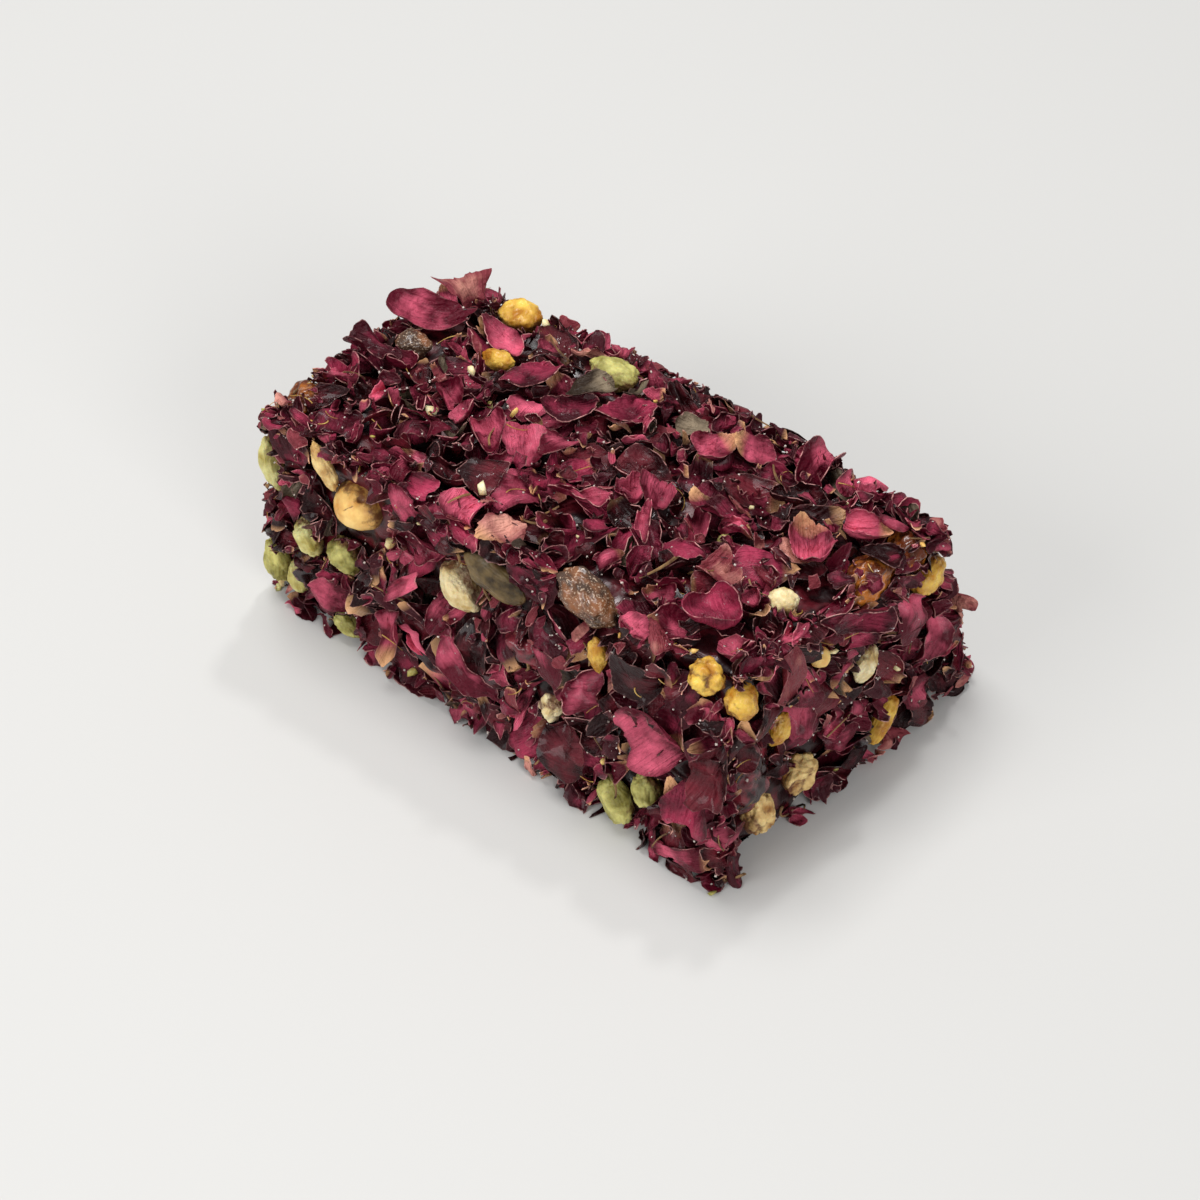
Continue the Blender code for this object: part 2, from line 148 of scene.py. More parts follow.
# Kernels that are clusters, and how many knobs each has
KNOBS = {"nut_corner_high": 11, "walnut_near": 24, "walnut_far": 18, "almond_chip": 8}
HAZELNUT_EYE = np.array((0.34, -0.41, 0.85))  # which way the small hole in a hazelnut's top faces
HAZELNUT_CRACKS = np.array(
    (((0.38, -0.43, 0.82), (0.83, 0.27, 0.48)), ((-0.12, -0.93, 0.34), (0.2, -0.73, 0.65)))
)

# Where the gel shows between the petals: colour, side, place, depth of the lobe's middle and its size
LOBES = (
    ("amber", "end", (7.0, 15.2), 2.8, (5.0, 9.0, 5.0)),
    ("amber", "end", (13.5, 14.8), 2.6, (5.0, 6.0, 4.4)),
    ("amber", "top", (-36.0, -13.0), 2.9, (5.0, 7.0, 5.0)),
    ("red", "end", (-14.8, -3.1), 3.0, (7.0, 8.0, 12.0)),
    ("red", "front", (-9.0, -11.0), 3.2, (11.0, 7.0, 7.0)),
    ("red", "front", (6.0, 1.5), 3.2, (9.0, 7.0, 7.0)),
    ("red", "back", (-12.0, 9.0), 3.2, (9.0, 7.0, 7.0)),
    ("red", "left", (4.0, 8.0), 3.2, (7.0, 9.0, 7.0)),
)

# What is strewn over the petals: kind, how many to a square centimetre, and smallest and largest
CRUMBS = (
    ("toasted", 0.16, (0.8, 2.2)),
    ("yellow", 0.12, (0.8, 2.0)),
    ("green", 0.06, (0.8, 1.6)),
    ("pale", 0.25, (0.7, 2.2)),
)
SUGAR = (12.0, (0.12, 0.26))  # to a square centimetre, smallest and largest
STALKS = (0.5, (2.5, 6.0), 0.42)  # to a square centimetre, lengths and thickness
STAMENS = (0.8, (1.5, 3.2), 0.16)

# A petal's rings of points, as shares of the way from its middle to its rim, and how many points go round
GRIDS = {
    "large": ((0.15, 0.34, 0.54, 0.73, 0.88, 1.0), 60),
    "petals": ((0.18, 0.42, 0.64, 0.84, 1.0), 32),
    "deep": ((0.5, 1.0), 14),
    "small": ((0.3, 0.6, 0.85, 1.0), 20),
    "crumbs": ((0.6, 1.0), 10),
}
# Each kind of petal: roughness and how wet it is
PETALS = {
    "magenta": (0.5, 0.05),
    "plum": (0.46, 0.08),
    "aubergine": (0.4, 0.16),
    "rose": (0.5, 0.02),
    "leaf": (0.5, 0.02),
}
# Each layer of loose petals, deepest first: its grid, petals per square centimetre, shortest and longest, how
# strongly they curl, how steeply they lean, how ragged they are, and how many of each of those kinds go in
LAYERS = (
    ("deep", 2.0, (7.0, 10.5), 0.6, 0.12, 0.07, (1.5, 5, 4, 0.2, 0.1)),
    ("petals", 3.2, (5.5, 9.0), 1.0, 0.20, 0.08, (3.5, 5, 3.6, 0.4, 0.2)),
    ("petals", 4.0, (3.6, 8.0), 1.3, 0.28, 0.09, (4.5, 5, 3, 0.6, 0.25)),
    ("small", 6.0, (2.2, 4.8), 1.4, 0.34, 0.11, (4.5, 5, 2.6, 1.1, 0.3)),
    ("crumbs", 4.0, (1.2, 2.6), 1.0, 0.45, 0.12, (4, 5, 2.5, 2.0, 0.5)),
)

# Each petal that stands out: side, place along it and across or up it, length and width, turn in degrees,
# kind, shade from dark to light, how strongly it curls, how steeply it rises, and whether its base is cream
HEROES = (
    ("top", (-8.5, -4.0), (7.0, 6.5), 138, "magenta", 0.9, 0.5, 0.12, False),
    ("top", (-5.0, -2.0), (5.0, 4.5), 55, "magenta", 0.45, 0.8, 0.1, False),
    ("top", (-8.0, -12.0), (6.0, 6.5), 14, "aubergine", 0.6, 0.2, 0.0, False),
    ("top", (-5.5, -18.5), (7.0, 6.5), 92, "magenta", 1.0, 0.7, 0.1, False),
    ("top", (0.5, -17.5), (6.5, 5.0), 77, "rose", 0.7, 1.0, 0.1, True),
    ("top", (3.5, -7.0), (8.5, 4.0), 22, "magenta", 0.6, 1.3, 0.1, False),
    ("top", (7.0, -2.5), (6.0, 4.5), 126, "magenta", 0.7, 0.9, 0.12, False),
    ("top", (9.5, -1.0), (5.5, 5.0), 119, "magenta", 0.4, 0.8, 0.1, False),
    ("top", (12.0, -6.5), (7.0, 3.0), 123, "magenta", 0.55, 1.4, 0.15, False),
    ("top", (18.0, -6.5), (6.0, 5.0), 0, "plum", 0.8, 1.0, 0.1, False),
    ("top", (15.5, 1.5), (6.0, 5.0), -10, "plum", 0.6, 1.0, 0.1, True),
    ("top", (9.0, 10.0), (6.5, 5.0), -113, "magenta", 0.8, 0.7, 0.12, True),
    ("top", (12.5, 13.5), (5.0, 4.5), 27, "magenta", 0.55, 0.8, 0.1, True),
    ("top", (-4.0, 9.0), (8.0, 6.0), 65, "plum", 0.9, 0.4, 0.0, False),
    ("top", (-9.0, 5.0), (7.0, 5.5), 43, "plum", 0.2, 0.4, 0.0, False),
    ("top", (-17.0, 7.0), (8.0, 6.0), 64, "plum", 0.85, 0.5, 0.0, False),
    ("top", (-9.5, 9.5), (6.5, 4.5), 59, "leaf", 0.6, 0.3, 0.0, False),
    ("top", (3.5, 13.0), (5.0, 4.5), 28, "leaf", 1.0, 0.2, 0.0, False),
    ("top", (19.5, 17.0), (8.5, 5.5), 98, "magenta", 0.5, 0.9, 0.2, False),
    ("top", (28.0, 4.5), (9.0, 7.0), -49, "magenta", 0.75, 0.9, 0.15, True),
    ("top", (31.5, 11.0), (7.0, 6.0), -145, "magenta", 0.8, 0.9, 0.15, True),
    ("top", (36.0, 9.5), (7.0, 4.5), 27, "aubergine", 0.0, 0.8, 0.1, False),
    ("top", (35.5, -2.0), (8.0, 4.0), 50, "magenta", 0.6, 1.0, 0.15, False),
    ("top", (28.0, -12.5), (10.0, 10.0), 153, "plum", 0.85, 0.9, 0.1, False),
    ("top", (20.0, -18.5), (6.0, 6.0), -158, "magenta", 0.55, 0.8, 0.1, False),
    ("top", (22.0, -21.0), (6.0, 5.0), -122, "magenta", 0.75, 0.8, 0.1, False),
    ("top", (28.0, -17.5), (9.0, 5.5), 25, "plum", 0.95, 0.7, 0.05, True),
    ("top", (23.5, -6.5), (6.0, 5.0), 73, "rose", 0.3, 0.5, 0.0, False),
    ("top", (-35.0, -1.0), (8.0, 5.0), -162, "plum", 0.2, 0.9, 0.5, False),
    ("top", (-34.0, 9.0), (11.0, 5.5), -144, "magenta", 0.45, 0.7, 0.3, False),
    ("top", (-34.5, 16.5), (6.5, 6.5), 161, "rose", 0.3, 0.9, 0.5, False),
    ("top", (-22.5, -2.0), (6.0, 4.5), -24, "magenta", 0.6, 0.9, 0.1, False),
    ("top", (-13.0, -5.5), (7.5, 5.0), 151, "magenta", 0.4, 0.8, 0.1, False),
    ("top", (-13.5, 20.0), (7.0, 4.5), -15, "magenta", 0.7, 1.0, 0.35, False),
    ("top", (-24.0, 11.0), (8.0, 5.0), -3, "magenta", 0.7, 0.9, 0.15, False),
    ("front", (26.5, 2.0), (10.5, 10.0), -124, "magenta", 0.8, 0.7, 0.05, False),
    ("front", (33.0, -5.5), (7.5, 7.0), -85, "plum", 0.8, 0.6, 0.05, False),
    ("front", (35.5, 1.0), (10.0, 6.0), -100, "aubergine", 0.9, 0.5, 0.05, False),
    ("front", (33.5, -13.5), (10.0, 4.5), -157, "magenta", 0.35, 0.9, 0.1, True),
    ("front", (-30.0, 13.0), (9.0, 4.5), 101, "magenta", 0.8, 0.9, 0.1, False),
    ("front", (-25.5, -10.5), (6.5, 5.0), 157, "magenta", 0.6, 0.9, 0.1, False),
    ("front", (-12.5, 1.5), (9.5, 4.5), 50, "magenta", 0.75, 1.2, 0.15, False),
    ("front", (-14.5, -8.5), (9.5, 4.0), 96, "magenta", 0.5, 1.2, 0.15, True),
    ("front", (-2.0, -6.0), (12.5, 4.5), 148, "magenta", 0.5, 0.8, 0.05, False),
    ("front", (13.5, -9.5), (8.0, 7.0), -3, "aubergine", 0.9, 0.4, 0.05, False),
    ("front", (16.0, 2.5), (6.0, 5.5), 23, "magenta", 0.5, 0.9, 0.1, False),
    ("front", (23.0, 9.5), (7.0, 6.0), -16, "aubergine", 0.1, 0.5, 0.05, False),
    ("end", (-10.5, 11.5), (10.0, 5.0), 92, "rose", 0.25, 0.7, 0.1, False),
    ("end", (19.5, -1.0), (9.5, 5.0), 93, "rose", 0.9, 0.8, 0.3, True),
    ("end", (13.0, -2.5), (8.5, 5.0), 60, "magenta", 0.5, 0.9, 0.15, False),
    ("end", (-8.5, 1.5), (12.0, 4.5), 86, "magenta", 0.1, 0.6, 0.05, False),
    ("end", (-3.0, -3.5), (10.5, 4.5), 30, "aubergine", 0.9, 0.5, 0.05, False),
    ("end", (1.0, 13.5), (12.0, 4.5), -26, "plum", 0.5, 0.7, 0.05, False),
    ("end", (-17.0, -15.2), (5.6, 3.6), -70, "plum", 0.2, 1.2, 0.45, False),
    ("end", (-13.5, -14.5), (7.0, 5.0), -100, "plum", 0.3, 0.6, 0.6, False),
    ("end", (-9.0, -14.0), (7.0, 5.0), -75, "magenta", 0.3, 0.6, 0.5, False),
)
HERO_LAYER = 2  # the layer that they are laid after
HERO_RAGGED = 0.06  # how ragged their outlines are
HERO_REACH = 4 * MM  # how far they may stand over the skin
HERO_KEPT = 0.7  # the share of their length and width that later petals keep off

# How far each side's petals are tipped upwards, like shingles, how unevenly, how freely they curl and rise,
# and what share of them is soaked in gel. The four sides are cut, so their petals lie flat in the gel.
CUT_SIDE = (0.22, 0.16, 0.7, 0.75)
SHINGLED = {side: CUT_SIDE for side in SIDES} | {"top": (0.0, 0.06, 1.0, 0.2)}

# What is drawn for each petal: its width as a share of its length, a notch in its tip, how wide and deep each
# tear is, its fray in mm, how far it is rolled into a boat, and how far it is folded
PETAL_WIDTH = (0.38, 0.92)
NOTCHES = (0, 0, 0.1, 0.3)
TEAR_WIDTH = (0.5, 1.2)
TEAR_DEPTH = (0.15, 0.45)
FRAY = (0.03, 0.1)
BOATS = (0.3, 0.5, 0.8, 1.3)
FOLDS = (0, 0, 0.4, 0.8)
# A petal's wrinkles: how many, how far apart in mm, and how high for that
WRINKLES = 5
WRINKLE_PITCH = (1.8, 5.0)
WRINKLE_HEIGHT = 0.085

PLACES_TRIED = 6  # for each loose petal
DRAWN = 5  # each of those places is the lowest of so many drawn
OVERLAP = 0.05  # the share of a petal that may lie over a kernel or a petal that stands out
LIFT = 0.05 * MM  # the gap between a petal and what it lies on
FOOT_FOLD = 1.3 * MM  # how much of a petal's foot is turned outwards along what the brick lies on
FOOT_HEIGHT = 0.1 * MM  # how high over the base it turns; gel that would be lower lies on the base
FOOT_SLOPE = 0.08  # how steeply it rises again on its way out
TOO_HIGH = 0.4 * MM  # a loose petal that would pass its limit by more isn't laid there
PRESSED = 0.5 * MM  # the last stretch under the limit, in which petals are pressed down

# The gel under the petals: its broad and fine lumps, least depth, and how far the brick lies under the heaps
GEL_LUMPS = (5.5 * MM, 2.2 * MM)
GEL_COVER = 1.2 * MM
GEL_UNDER = 0.25 * MM
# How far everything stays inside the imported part's box, and how far a laid petal does
BOX_GAP = 0.03 * MM
PETAL_GAP = 0.15 * MM
# What stands for no length and for no area, so that nothing is divided by nought
NO_LENGTH = 1e-9
NO_AREA = 1e-12
SMOOTH_UNDER = math.radians(60)  # edges that turn by less are shaded smooth

DRY_SUGAR = "#d9bfa6"  # what dries out of the gel
SUGAR_COLOUR = "#f4e6dc"
SKY_COLOUR = "#f6f7fa"


def linear(hex_colour):
    """A colour written as on screen, as the linear numbers that a shader takes."""
    parts = [int(hex_colour[i : i + 2], 16) / 255 for i in (1, 3, 5)]
    return (*(p / 12.92 if p <= 0.04045 else ((p + 0.055) / 1.055) ** 2.4 for p in parts), 1.0)


def mix(a, b, share):
    return a + (b - a) * share[..., None]


def skin(point, depth):
    """Places on the brick for points of the squared-up brick's outside, that depth under its skin."""
    low = EDGE_RADIUS - HALF
    low[2] = -1  # the base has no rounded edges
    inner = np.clip(point, low, HALF - EDGE_RADIUS)
    away = point - inner
    away /= np.maximum(np.linalg.norm(away, axis=-1, keepdims=True), NO_LENGTH)
    x, y, z = np.moveaxis((inner + away * (EDGE_RADIUS - depth)[..., None]) / HALF / 2 + 0.5, -1, 0)
    base_front = mix(BASE_FRONT_LEFT, BASE_FRONT_RIGHT, x)
    base_back = mix(BASE_BACK_LEFT, BASE_BACK_RIGHT, x)
    front = mix(base_front, mix(TOP_FRONT_LEFT, TOP_FRONT_RIGHT, x), z)
    place = mix(front, mix(base_back, mix(TOP_BACK_LEFT, TOP_BACK_RIGHT, x), z), y)
    place[..., 1] += BACK_BELLY * y * 4 * x * (1 - x)
    return place


def side_point(side, along, up):
    """The squared-up brick's point that far along a side and across or up it, carried on round its edges."""
    axis, way, _ = SIDES[side]
    flat = [along, up]
    flat.insert(axis, np.full_like(along, way * HALF[axis]))
    point = np.stack(flat, -1)
    for other in range(3):
        if other != axis:
            past = np.maximum(np.abs(point[..., other]) - HALF[other], 0)
            if other == 2:
                past[point[..., 2] < 0] = 0
            point[..., other] -= np.sign(point[..., other]) * past
            point[..., axis] -= way * past
    return point


def side_place(side, along, up, depth):
    return skin(side_point(side, along, up), depth)


def headroom(side, along, up):
    """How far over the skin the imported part's box lets a petal reach."""
    axis, way, _ = SIDES[side]
    place = side_place(side, along, up, np.zeros_like(along))
    return way * (CAD_BOX[way > 0][axis] - place[..., axis]) - PETAL_GAP


def kernel_frame(side, spot, depth, turn):
    """A kernel's middle and its turn."""
    along, up, deep = (np.array([value * MM]) for value in (*spot, depth))
    return side_place(side, along, up, deep)[0], np.array(Euler([math.radians(t) for t in turn]).to_matrix())


def noise_at(points, size, seed=0.0):
    """Smooth noise from about -1 to 1 at each point, with lumps of that size."""
    flat = points.reshape(-1, 3) / size + seed
    return np.array([noise.noise(Vector(p)) for p in flat]).reshape(points.shape[:-1])


def gel_depth(point):
    """How deep under the skin the gel's surface lies at points of the squared-up brick."""
    values = bpy.context.scene.delight_gel
    broad, fine = GEL_LUMPS
    lumps = noise_at(point, broad) + 0.5 * noise_at(point, fine, 7.0)
    return np.maximum(values.depth - values.relief * lumps, GEL_COVER)


def fill_sockets(tree, node, inputs):
    """Gives each of a node's sockets a value, another node's output, or another node's first result."""
    for socket, value in inputs.items():
        if isinstance(value, bpy.types.Node):
            value = next(output for output in value.outputs if output.enabled)
        if isinstance(value, bpy.types.NodeSocket):
            tree.links.new(value, node.inputs[socket])
        else:
            node.inputs[socket].default_value = value


def add_node(tree, kind, inputs=None, **settings):
    """Adds a node with its settings and links."""
    made = tree.nodes.new(kind)
    for name, value in settings.items():
        setattr(made, name, value)
    fill_sockets(tree, made, inputs or {})
    return made


def new_material(name):
    """An empty material of that name, its node tree and its shader."""
    made = bpy.data.materials.new(name)
    made.use_nodes = True
    return made, made.node_tree, made.node_tree.nodes["Principled BSDF"]


def petal_material(kind, dark, light, gloss, wet):
    """Dried rose petal: thin, satin and a little waxy, with fine veins, a cream base and a pale rim, partly
    its dry torn edge and partly a painted highlight.
    """
    made, tree, shader = new_material(f"dried_rose_petal_{kind}")
    values = bpy.context.scene.delight_petals
    place = add_node(tree, "ShaderNodeAttribute", attribute_name="petal_place").outputs["Vector"]
    looks = add_node(tree, "ShaderNodeAttribute", attribute_name="petal_looks").outputs["Vector"]
    along, rim, shade = add_node(tree, "ShaderNodeSeparateXYZ", {0: looks}).outputs
    fate = add_node(tree, "ShaderNodeSeparateXYZ", {0: place}).outputs[2]
    chance = add_node(tree, "ShaderNodeMath", {0: fate}, operation="FRACT")
    soaked = add_node(tree, "ShaderNodeMath", {0: fate}, operation="FLOOR")
    spot = add_node(tree, "ShaderNodeTexCoord").outputs["Object"]

    # Veins lie 0.3 mm apart and run along the petal
    veined = add_node(tree, "ShaderNodeVectorMath", {0: place, 1: (0.3, 3.4, 60.0)}, operation="MULTIPLY")
    veins = add_node(tree, "ShaderNodeTexNoise", {"Vector": veined, "Scale": 1.0, "Detail": 3.0})
    blotch, crease, broad = (
        add_node(tree, "ShaderNodeTexNoise", {"Vector": spot, "Scale": scale, "Detail": detail})
        for scale, detail in ((420.0, 4.0), (1100.0, 4.0), (240.0, 1.0))
    )

    # Each petal has its own shade, is lighter towards its tip, and is mottled over 4 mm and over 2 mm
    mixed = add_node(tree, "ShaderNodeMath", {0: broad, 1: 1.9, 2: -2.47}, operation="MULTIPLY_ADD")
    inner = add_node(tree, "ShaderNodeMapRange", {0: rim, 1: 0.0, 2: 1.3})
    parts = ((blotch, 1.4), (veins, 0.42), (soaked, -0.1), (along, 0.45), (shade, 0.75), (inner, 0.35))
    for part, weight in parts:
        mixed = add_node(tree, "ShaderNodeMath", {0: part, 1: weight, 2: mixed}, operation="MULTIPLY_ADD")
    tone = add_node(tree, "ShaderNodeMix", {0: mixed, 6: dark, 7: light}, data_type="RGBA", clamp_factor=True)

    # About a quarter of the petals keep their cream base, and each one's torn rim is pale in patches, partly
    # its dry edge and partly a painted highlight where the curled lip catches light
    based = add_node(tree, "ShaderNodeMapRange", {0: along, 1: 0.3, 2: 0.02, 3: 0.0, 4: 0.9})
    kept = add_node(tree, "ShaderNodeMapRange", {0: chance, 1: 0.66, 2: 0.78})
    rim_and_highlight_share = add_node(tree, "ShaderNodeMapRange", {0: rim, 1: 0.12, 2: 0.0, 3: 0.0, 4: 0.85})
    patchy = add_node(tree, "ShaderNodeMapRange", {0: crease, 1: 0.42, 2: 0.58, 3: 0.0, 4: 0.9})
    own = add_node(tree, "ShaderNodeMath", {0: chance, 1: 7.0}, operation="MULTIPLY")
    own = add_node(tree, "ShaderNodeMath", {0: own}, operation="FRACT")
    pale = (based, (kept,), values.base_colour), (rim_and_highlight_share, (patchy, own), values.rim_and_highlight_colour)
    for share, limits, colour in pale:
        for limit in limits:
            share = add_node(tree, "ShaderNodeMath", {0: share, 1: limit}, operation="MULTIPLY")
        tone = add_node(tree, "ShaderNodeMix", {0: share, 6: tone, 7: tuple(colour)}, data_type="RGBA")

    rough = {0: blotch, 1: 0.35, 2: 0.65, 3: gloss - 0.16, 4: gloss + 0.14}
    relief = add_node(tree, "ShaderNodeMath", {0: crease, 1: veins}, operation="ADD")
    relief = add_node(tree, "ShaderNodeMath", {0: blotch, 1: 2.2, 2: relief}, operation="MULTIPLY_ADD")
    bump = {"Height": relief, "Distance": 0.45 * MM, "Strength": 1.0}
    coat = {0: soaked, 1: 0.08, 2: wet}
    surface = {
        "Base Color": tone,
        "Roughness": add_node(tree, "ShaderNodeMapRange", rough),
        "Normal": add_node(tree, "ShaderNodeBump", bump),
        "Specular IOR Level": 0.17,
        "Coat Weight": add_node(tree, "ShaderNodeMath", coat, operation="MULTIPLY_ADD"),
        "Coat Roughness": 0.14,
    }
    fill_sockets(tree, shader, surface)
    return made


def kernel_material(kind, dark, light, stain, roughness, bumps):
    """Chopped kernel: mealy where broken and satin on its skin. One colour darkens it, as stains from petals
    and gel and as painted shade in its creases, cracks, eye, knob gaps and under the petals.
    """
    made, tree, shader = new_material(f"{kind}_kernel")
    spot = add_node(tree, "ShaderNodeTexCoord").outputs["Object"]
    # Share of that colour: stains from petals and gel, and painted shade in creases, cracks, the eye, knob
    # gaps and under the petals
    stain_and_shade_share = add_node(tree, "ShaderNodeAttribute", attribute_name="kernel_stain").outputs["Fac"]
    broad, fine = (
        add_node(tree, "ShaderNodeTexNoise", {"Vector": spot, "Scale": scale, "Detail": detail})
        for scale, detail in ((420.0, 4.0), (2600.0, 3.0))
    )
    share = add_node(tree, "ShaderNodeMapRange", {0: broad, 1: 0.36, 2: 0.64})
    tone = add_node(tree, "ShaderNodeMix", {0: share, 6: dark, 7: light}, data_type="RGBA")

    # Stains and painted shade are patchy, and deepest where the kernel goes under the petals
    patches = {"Vector": spot, "Scale": 700.0, "Detail": 5.0, "Roughness": 0.65}
    patches = add_node(tree, "ShaderNodeTexNoise", patches)
    soaked = add_node(tree, "ShaderNodeMath", {0: stain_and_shade_share, 1: 0.5, 2: patches}, operation="MULTIPLY_ADD")
    soaked = add_node(tree, "ShaderNodeMapRange", {0: soaked, 1: 0.64, 2: 0.86, 3: 0.0, 4: 0.85})
    rough = {0: fine, 1: 0.3, 2: 0.7, 3: roughness - 0.12, 4: roughness + 0.12}
    surface = {
        "Base Color": add_node(tree, "ShaderNodeMix", {0: soaked, 6: tone, 7: stain}, data_type="RGBA"),
        "Roughness": add_node(tree, "ShaderNodeMapRange", rough),
        "Normal": add_node(tree, "ShaderNodeBump", {"Height": fine, "Distance": bumps, "Strength": 0.7}),
        "Specular IOR Level": 0.3,
        "Subsurface Weight": 0.2,
        "Subsurface Radius": (1.0, 0.6, 0.3),
        "Subsurface Scale": 1.2 * MM,
    }
    fill_sockets(tree, shader, surface)
    return made


def gel_material(name, dark, light, roughness, sugared):
    """Starch gel boiled with petals: smooth, wet-looking and cloudy, with sugar drying out in places."""
    made, tree, shader = new_material(name)
    spot = add_node(tree, "ShaderNodeTexCoord").outputs["Object"]
    clouds, grains, ripples = (
        add_node(tree, "ShaderNodeTexNoise", {"Vector": spot, "Scale": scale, "Detail": detail})
        for scale, detail in ((300.0, 4.0), (3600.0, 1.0), (900.0, 3.0))
    )
    share = add_node(tree, "ShaderNodeMapRange", {0: clouds, 1: 0.46, 2: 0.6})
    tone = add_node(tree, "ShaderNodeMix", {0: share, 6: dark, 7: light}, data_type="RGBA")
    grains = add_node(tree, "ShaderNodeMapRange", {0: grains, 1: 0.58, 2: 0.68, 3: 0.0, 4: sugared})
    sugar = {0: grains, 6: tone, 7: linear(DRY_SUGAR)}
    rough = {0: ripples, 1: 0.3, 2: 0.7, 3: roughness, 4: roughness + 0.25}
    bump = {"Height": ripples, "Distance": 0.2 * MM, "Strength": 0.6}
    surface = {
        "Base Color": add_node(tree, "ShaderNodeMix", sugar, data_type="RGBA"),
        "Roughness": add_node(tree, "ShaderNodeMapRange", rough),
        "Normal": add_node(tree, "ShaderNodeBump", bump),
        "IOR": 1.47,
    }
    fill_sockets(tree, shader, surface)
    return made


def length_value(name, description, millimetres):
    return FloatProperty(
        name=name, description=description, default=millimetres * MM, unit="LENGTH", precision=5
    )


def angle_value(name, description, degrees):
    return FloatProperty(name=name, description=description, default=math.radians(degrees), subtype="ANGLE")


def light_value(name, description, watts):
    return FloatProperty(name=name, description=description, default=watts, unit="POWER")


def colour_value(name, description, hex_colour):
    return FloatVectorProperty(
        name=name, description=description, default=linear(hex_colour), size=4, subtype="COLOR", min=0, max=1
    )


def two_tones(*kinds):
    """A dark and a light colour for each kind: its name, what it is, and the two colours."""
    made = {}
    for kind, what, *colours in kinds:
        for end, colour in zip(("dark", "light"), colours):
            title = f"{kind.capitalize()}, {end}"
            made[f"{kind}_{end}"] = colour_value(title, f"{what} at its {end}est", colour)
    return made


class GelValues(bpy.types.PropertyGroup):
    """The brick of gel under the petals."""

    depth: length_value("Depth", "How far under the petals' skin the gel lies", 2.7)
    relief: length_value("Relief", "How far the gel's lumps rise and its hollows sink", 1.5)
    cuts: IntProperty(name="Cuts", description="Cuts across each side of the brick", default=70, min=8)
    __annotations__.update(
        two_tones(
            # The deep gel's near-black tone is partly its own dark red and partly painted shade for the
            # hollows between the petals
            ("deep", "Gel under the petals", "#24070b", "#5e1620"),
            ("red", "Gel that stands out between the petals", "#24070b", "#7c2c36"),
            ("bare", "Clear gel without sugar", "#5a2812", "#d07c2c"),
            ("amber", "Clear gel with sugar on it", "#4c382c", "#8a5a3c"),
        )
    )


class PetalValues(bpy.types.PropertyGroup):
    """The dried petals that clad the brick."""

    thickness: length_value("Thickness", "Thickness of a dried petal", 0.11)
    reach: length_value("Reach", "How far a petal may stand over the brick's skin", 1.5)
    cell: length_value("Cell", "Grid on which the petals' heap is kept", 0.3)
    seed: IntProperty(name="Seed", description="Another number lays the petals another way", default=5)
    amount: FloatProperty(name="Amount", description="Share of the petals laid", default=1.0, min=0, max=2)
    base_colour: colour_value("Base", "A petal's base, where it was joined to the flower", "#efb682")
    # Partly the dry torn rim's own colour, partly a painted highlight where a petal's curled lip catches
    # light
    rim_and_highlight_colour: colour_value("Rim", "A petal's dry, torn rim", "#e8aaa4")
    __annotations__.update(
        two_tones(
            ("magenta", "A bright petal", "#560a1e", "#ea6682"),
            ("plum", "A plum petal", "#3e0a16", "#b03856"),
            ("aubergine", "A nearly black petal", "#240508", "#74222e"),
            ("rose", "A faded petal", "#80343c", "#e8a492"),
            ("leaf", "A sepal or scrap of leaf", "#33261c", "#988770"),
        )
    )


class KernelValues(bpy.types.PropertyGroup):
    """The nuts, seeds and clear lumps of gel."""

    level: IntProperty(name="Level", description="How finely each kernel is divided", default=5, min=2, max=6)
    # Stains that petals and gel leave on a kernel; the same colour is painted shade in its creases, cracks,
    # eye, knob gaps and under the petals
    stain: colour_value("Stain", "What petals and gel leave on a kernel", "#5e2a1e")
    __annotations__.update(
        two_tones(
            ("toasted", "Toasted nut", "#d69a48", "#fcd484"),
            ("yellow", "Yellow pistachio", "#a8984a", "#dcd692"),
            ("golden", "Golden kernel", "#b07422", "#ecc458"),
            ("walnut", "Walnut", "#a87638", "#f6d894"),
            ("green", "Green pistachio", "#787030", "#d2cb7a"),
            ("pale", "Almond", "#c8a868", "#fdf0c2"),
            ("seed", "Pumpkin seed", "#2a1f12", "#77623c"),
            ("stalk", "Stalk", "#3a2018", "#9c7a50"),
            ("stamen", "Stamen", "#8a5a20", "#dcb060"),
        )
    )


class StageValues(bpy.types.PropertyGroup):
    """Camera, light and floor."""

    azimuth: angle_value("Azimuth", "Where the camera stands", 36.86)
    elevation: angle_value("Elevation", "How high it looks from", 50.59)
    roll: angle_value("Roll", "How far it is tipped", 1.15)
    distance: length_value("Distance", "From the camera to the brick", 427.7)
    target: FloatVectorProperty(
        name="Target",
        description="What the camera looks at",
        default=(-2.9 * MM, 4.9 * MM, 0.0),
        subtype="XYZ",
    )
    lens: FloatProperty(name="Lens", description="Focal length in millimetres", default=96.0)
    key: light_value("Key light", "Strength of the broad light overhead", 3.5)
    spark: light_value("Spark", "Strength of the small lamp that makes glints", 0.9)
    fill: light_value("Fill light", "Strength of the light from the left", 2.8)
    side: light_value("Side light", "Strength of the light from the right", 2.6)
    sky: FloatProperty(name="Sky", description="Strength of the light from all round", default=0.36)
    floor: colour_value("Floor", "The pale surface under the brick", "#cbcac7")


def tones(values, kind):
    """The dark and the light colour of a kind, as a material takes them."""
    return tuple(getattr(values, f"{kind}_dark")), tuple(getattr(values, f"{kind}_light"))


def finished(obj, material, slot, *nodes):
    """Gives a piece its material, hangs it on the root and hides the imported parts it stands for; its slot
    is not used.
    """
    obj.data.materials.clear()
    obj.data.materials.append(material)
    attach(obj, "root")
    if nodes:
        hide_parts(*nodes)
    return obj


